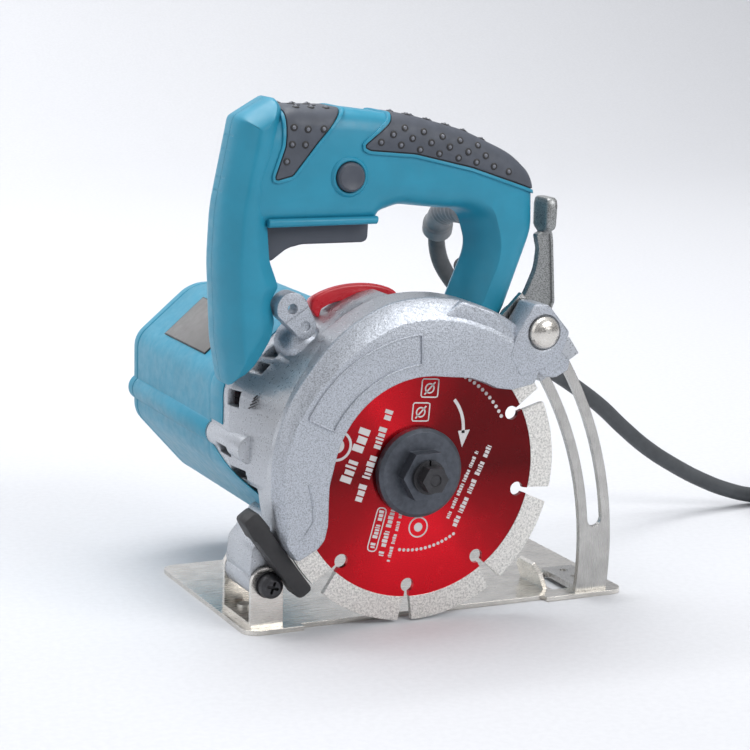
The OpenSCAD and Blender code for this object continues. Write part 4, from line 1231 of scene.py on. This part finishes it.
# Levels of the lever's tab: z, half its depth along Y, half its thickness along X
TAB_LEVELS = [
    (156.4, 3.2, 2.0), (157.2, 3.4, 2.1), (158.6, 5.8, 2.5), (160, 6.6, 2.7), (168.5, 6.8, 2.7),
    (170.6, 6.2, 2.5), (171.4, 5.2, 2.0),
]


def squared(share):
    """A cosine or sine bent towards its ends, which makes a round corner squarer."""
    return math.copysign(abs(share) ** 0.45, share)


def make_lever():
    outer = loop_of(LEVER_WEB, 1.0)
    web = prism(outer, -13.3, -11, "clamp_arm")
    flange = prism(outer, -14.4, -10.8)
    cut(flange, prism(inset(outer, 1.1), -16, -8))
    join(web, flange, rod(CLAMP, 8.0, -16.7, -8, 40))
    cut(web, rod(CLAMP, BOLT_HOLE, -20, -4, 32))
    soften(web, 0.4, 2, 50)
    finish_piece(web, "lever_alloy", ("clamp_lever",), body="depth_clamp")
    rows = []
    for z, depth, thick in TAB_LEVELS:
        x = 62.9 + (z - 157) * 0.02
        turns = (2 * math.pi * k / 20 for k in range(20))
        rows.append([
            Vector((x + thick * squared(math.cos(a)), -11.6 + depth * squared(math.sin(a)), z))
            for a in turns
        ])
    tab = Shape().rows(rows).object("clamp_tab")
    finish_piece(tab, "lever_alloy", smooth=45, body="depth_clamp")
    nut = prism(circle(CLAMP, 6.3, 6), -8.2, -4.8, "clamp_hex")
    cut(nut, rod(CLAMP, BOLT_HOLE, -20, -2, 32))
    soften(nut, 0.4, 2, 40)
    finish_piece(nut, "lever_alloy", body="depth_clamp")


# ---------------------------------------------------------------- strain relief


def smooth_path(path, steps=12):
    """A curve through all points of a path."""
    path = points(*path)
    ends = [path[0] * 2 - path[1]] + path + [path[-1] * 2 - path[-2]]
    fine = []
    for before, here, there, after in zip(ends, ends[1:], ends[2:], ends[3:]):
        for k in range(steps):
            t = k / steps
            fine.append(
                0.5 * (2 * here + (there - before) * t
                + (2 * before - 5 * here + 4 * there - after) * t * t
                + (3 * here - before - 3 * there + after) * t ** 3)
            )
    return fine + path[-1:]


def make_relief():
    """Moulded sleeve with a collar at its mouth and ribs near the housing."""
    path = smooth_path(RELIEF)
    radii = []
    for i in range(len(path)):
        share = i / (len(path) - 1)
        rib = 0.35 if 0.12 < share < 0.62 and int(share * 50) % 4 < 2 else 0
        radii.append(6.6 if share > 0.86 else 6.0 - 0.6 * share + rib)
    sleeve = Shape().tube(path, radii, 24).object("cord_sleeve")
    soften(sleeve, 0.25, 2, 40)
    return finish_piece(sleeve, "relief_rubber", ("strain_relief",), 40)


# ---------------------------------------------------------------- blade prints

PRINT_LIFT = 0.05
# Rows of blocks: x, z, length, tilt in degrees, height, seed of the widths
PRINT_ROWS = [
    (-27.7, 71.8, 23, 68, 5.0, 1), (-19.7, 70.7, 38, 70, 3.6, 2), (-12.9, 38.3, 19, 75, 2.4, 3),
    (-9.4, 36.0, 20, 75, 1.6, 4), (20.9, 55.7, 30, 65, 1.7, 7), (25.3, 54.8, 36, 65, 2.4, 8),
    (-17.3, 40.3, 15.5, 75, 2.2, 9),
]
# Dotted arcs: dots, first angle, step, radius of the arc, radius of a dot
DOT_ARCS = [(14, 258, 3.4, 33, 0.75), (18, 28, 3.3, 43, 0.85)]


def patch(ink, loop):
    """A thin tile on the blade's face."""
    ink.prism(loop, BLADE_FACE - PRINT_LIFT, BLADE_FACE + 0.2)


def border(ink, loop, width):
    inner = inset(loop, width)
    for i in range(len(loop)):
        j = (i + 1) % len(loop)
        patch(ink, [loop[i], loop[j], inner[j], inner[i]])


def round_mark(ink, centre, radius, steps, width, core, core_steps):
    """A ring with a dot in it."""
    border(ink, circle(centre, radius, steps), width)
    patch(ink, circle(centre, core, core_steps))


def print_row(ink, x, z, length, tilt, height, seed):
    """Blocks of varied width and height in a row, some left out."""
    along = heading(tilt)
    across = Vector((-along.y, along.x)) * height / 2
    done = 0.0
    k = 0
    while done < length:
        width = height * (0.16 + 0.42 * abs(math.sin(seed + 2.7 * k)))
        here = Vector((x, z)) + along * (done - length / 2)
        tall = across * (1.0 if (k * 7 + seed) % 5 < 2 else 0.72)
        if (k + seed) % 6 != 5:
            there = here + along * width
            patch(ink, [here - across, there - across, there + tall, here + tall])
        done += width + height * 0.16
        k += 1


def make_prints():
    """Generic white markings, with plain blocks where the blade's lettering was."""
    ink = Shape()
    for row in PRINT_ROWS:
        print_row(ink, *row)
    for count, first, step, reach, radius in DOT_ARCS:
        for k in range(count):
            patch(ink, circle(Vector(AXLE) + heading(first + step * k) * reach, radius, 6))
    patch(ink, ring_sector((1.5, 79.5), 18.4, 19.8, -6, 40, 16))
    patch(ink, points((18.2, 78.6), (23.6, 78.8), (20.2, 71.6)))
    for x, z in ((4.8, 97.2), (1.0, 87.6)):
        corners = ((-4.2, -3.6), (3.8, -4.2), (4.4, 3.8), (-3.6, 4.4))
        border(ink, even(rounded([(x + a, z + b, 1) for a, b in corners]), 1.2), 0.55)
        border(ink, circle((x, z), 2.2, 20), 0.6)
        stroke = ((-2.6, -2.2), (-2.1, -2.6), (2.7, 2.2), (2.2, 2.6))
        patch(ink, points(*((x + a, z + b) for a, b in stroke)))
    round_mark(ink, (1.3, 39.6), 4.4, 28, 0.6, 1.9, 16)
    corners = ((-9.4, -2.3, 2), (9.4, -2.3, 2), (9.4, 2.3, 2), (-9.4, 2.3, 2))
    border(ink, even(rounded(turned_corners(corners, (-17.3, 40.3), 75)), 1.2), 0.5)
    round_mark(ink, (-35.6, 76.4), 6.4, 32, 1.1, 3.0, 20)
    prints = ink.object("blade_prints")
    finish_piece(prints, "print_white", smooth=60, body="blade_spindle")


# ---------------------------------------------------------------- make

set_camera()
set_light()
make_cord()
make_floor()
dress_frame()
make_handle()
make_grips()
make_trigger()
make_motor_housing()
make_gear_case()
make_skirt()
make_guard()
make_flap()
make_visor()
make_lever()
make_prints()
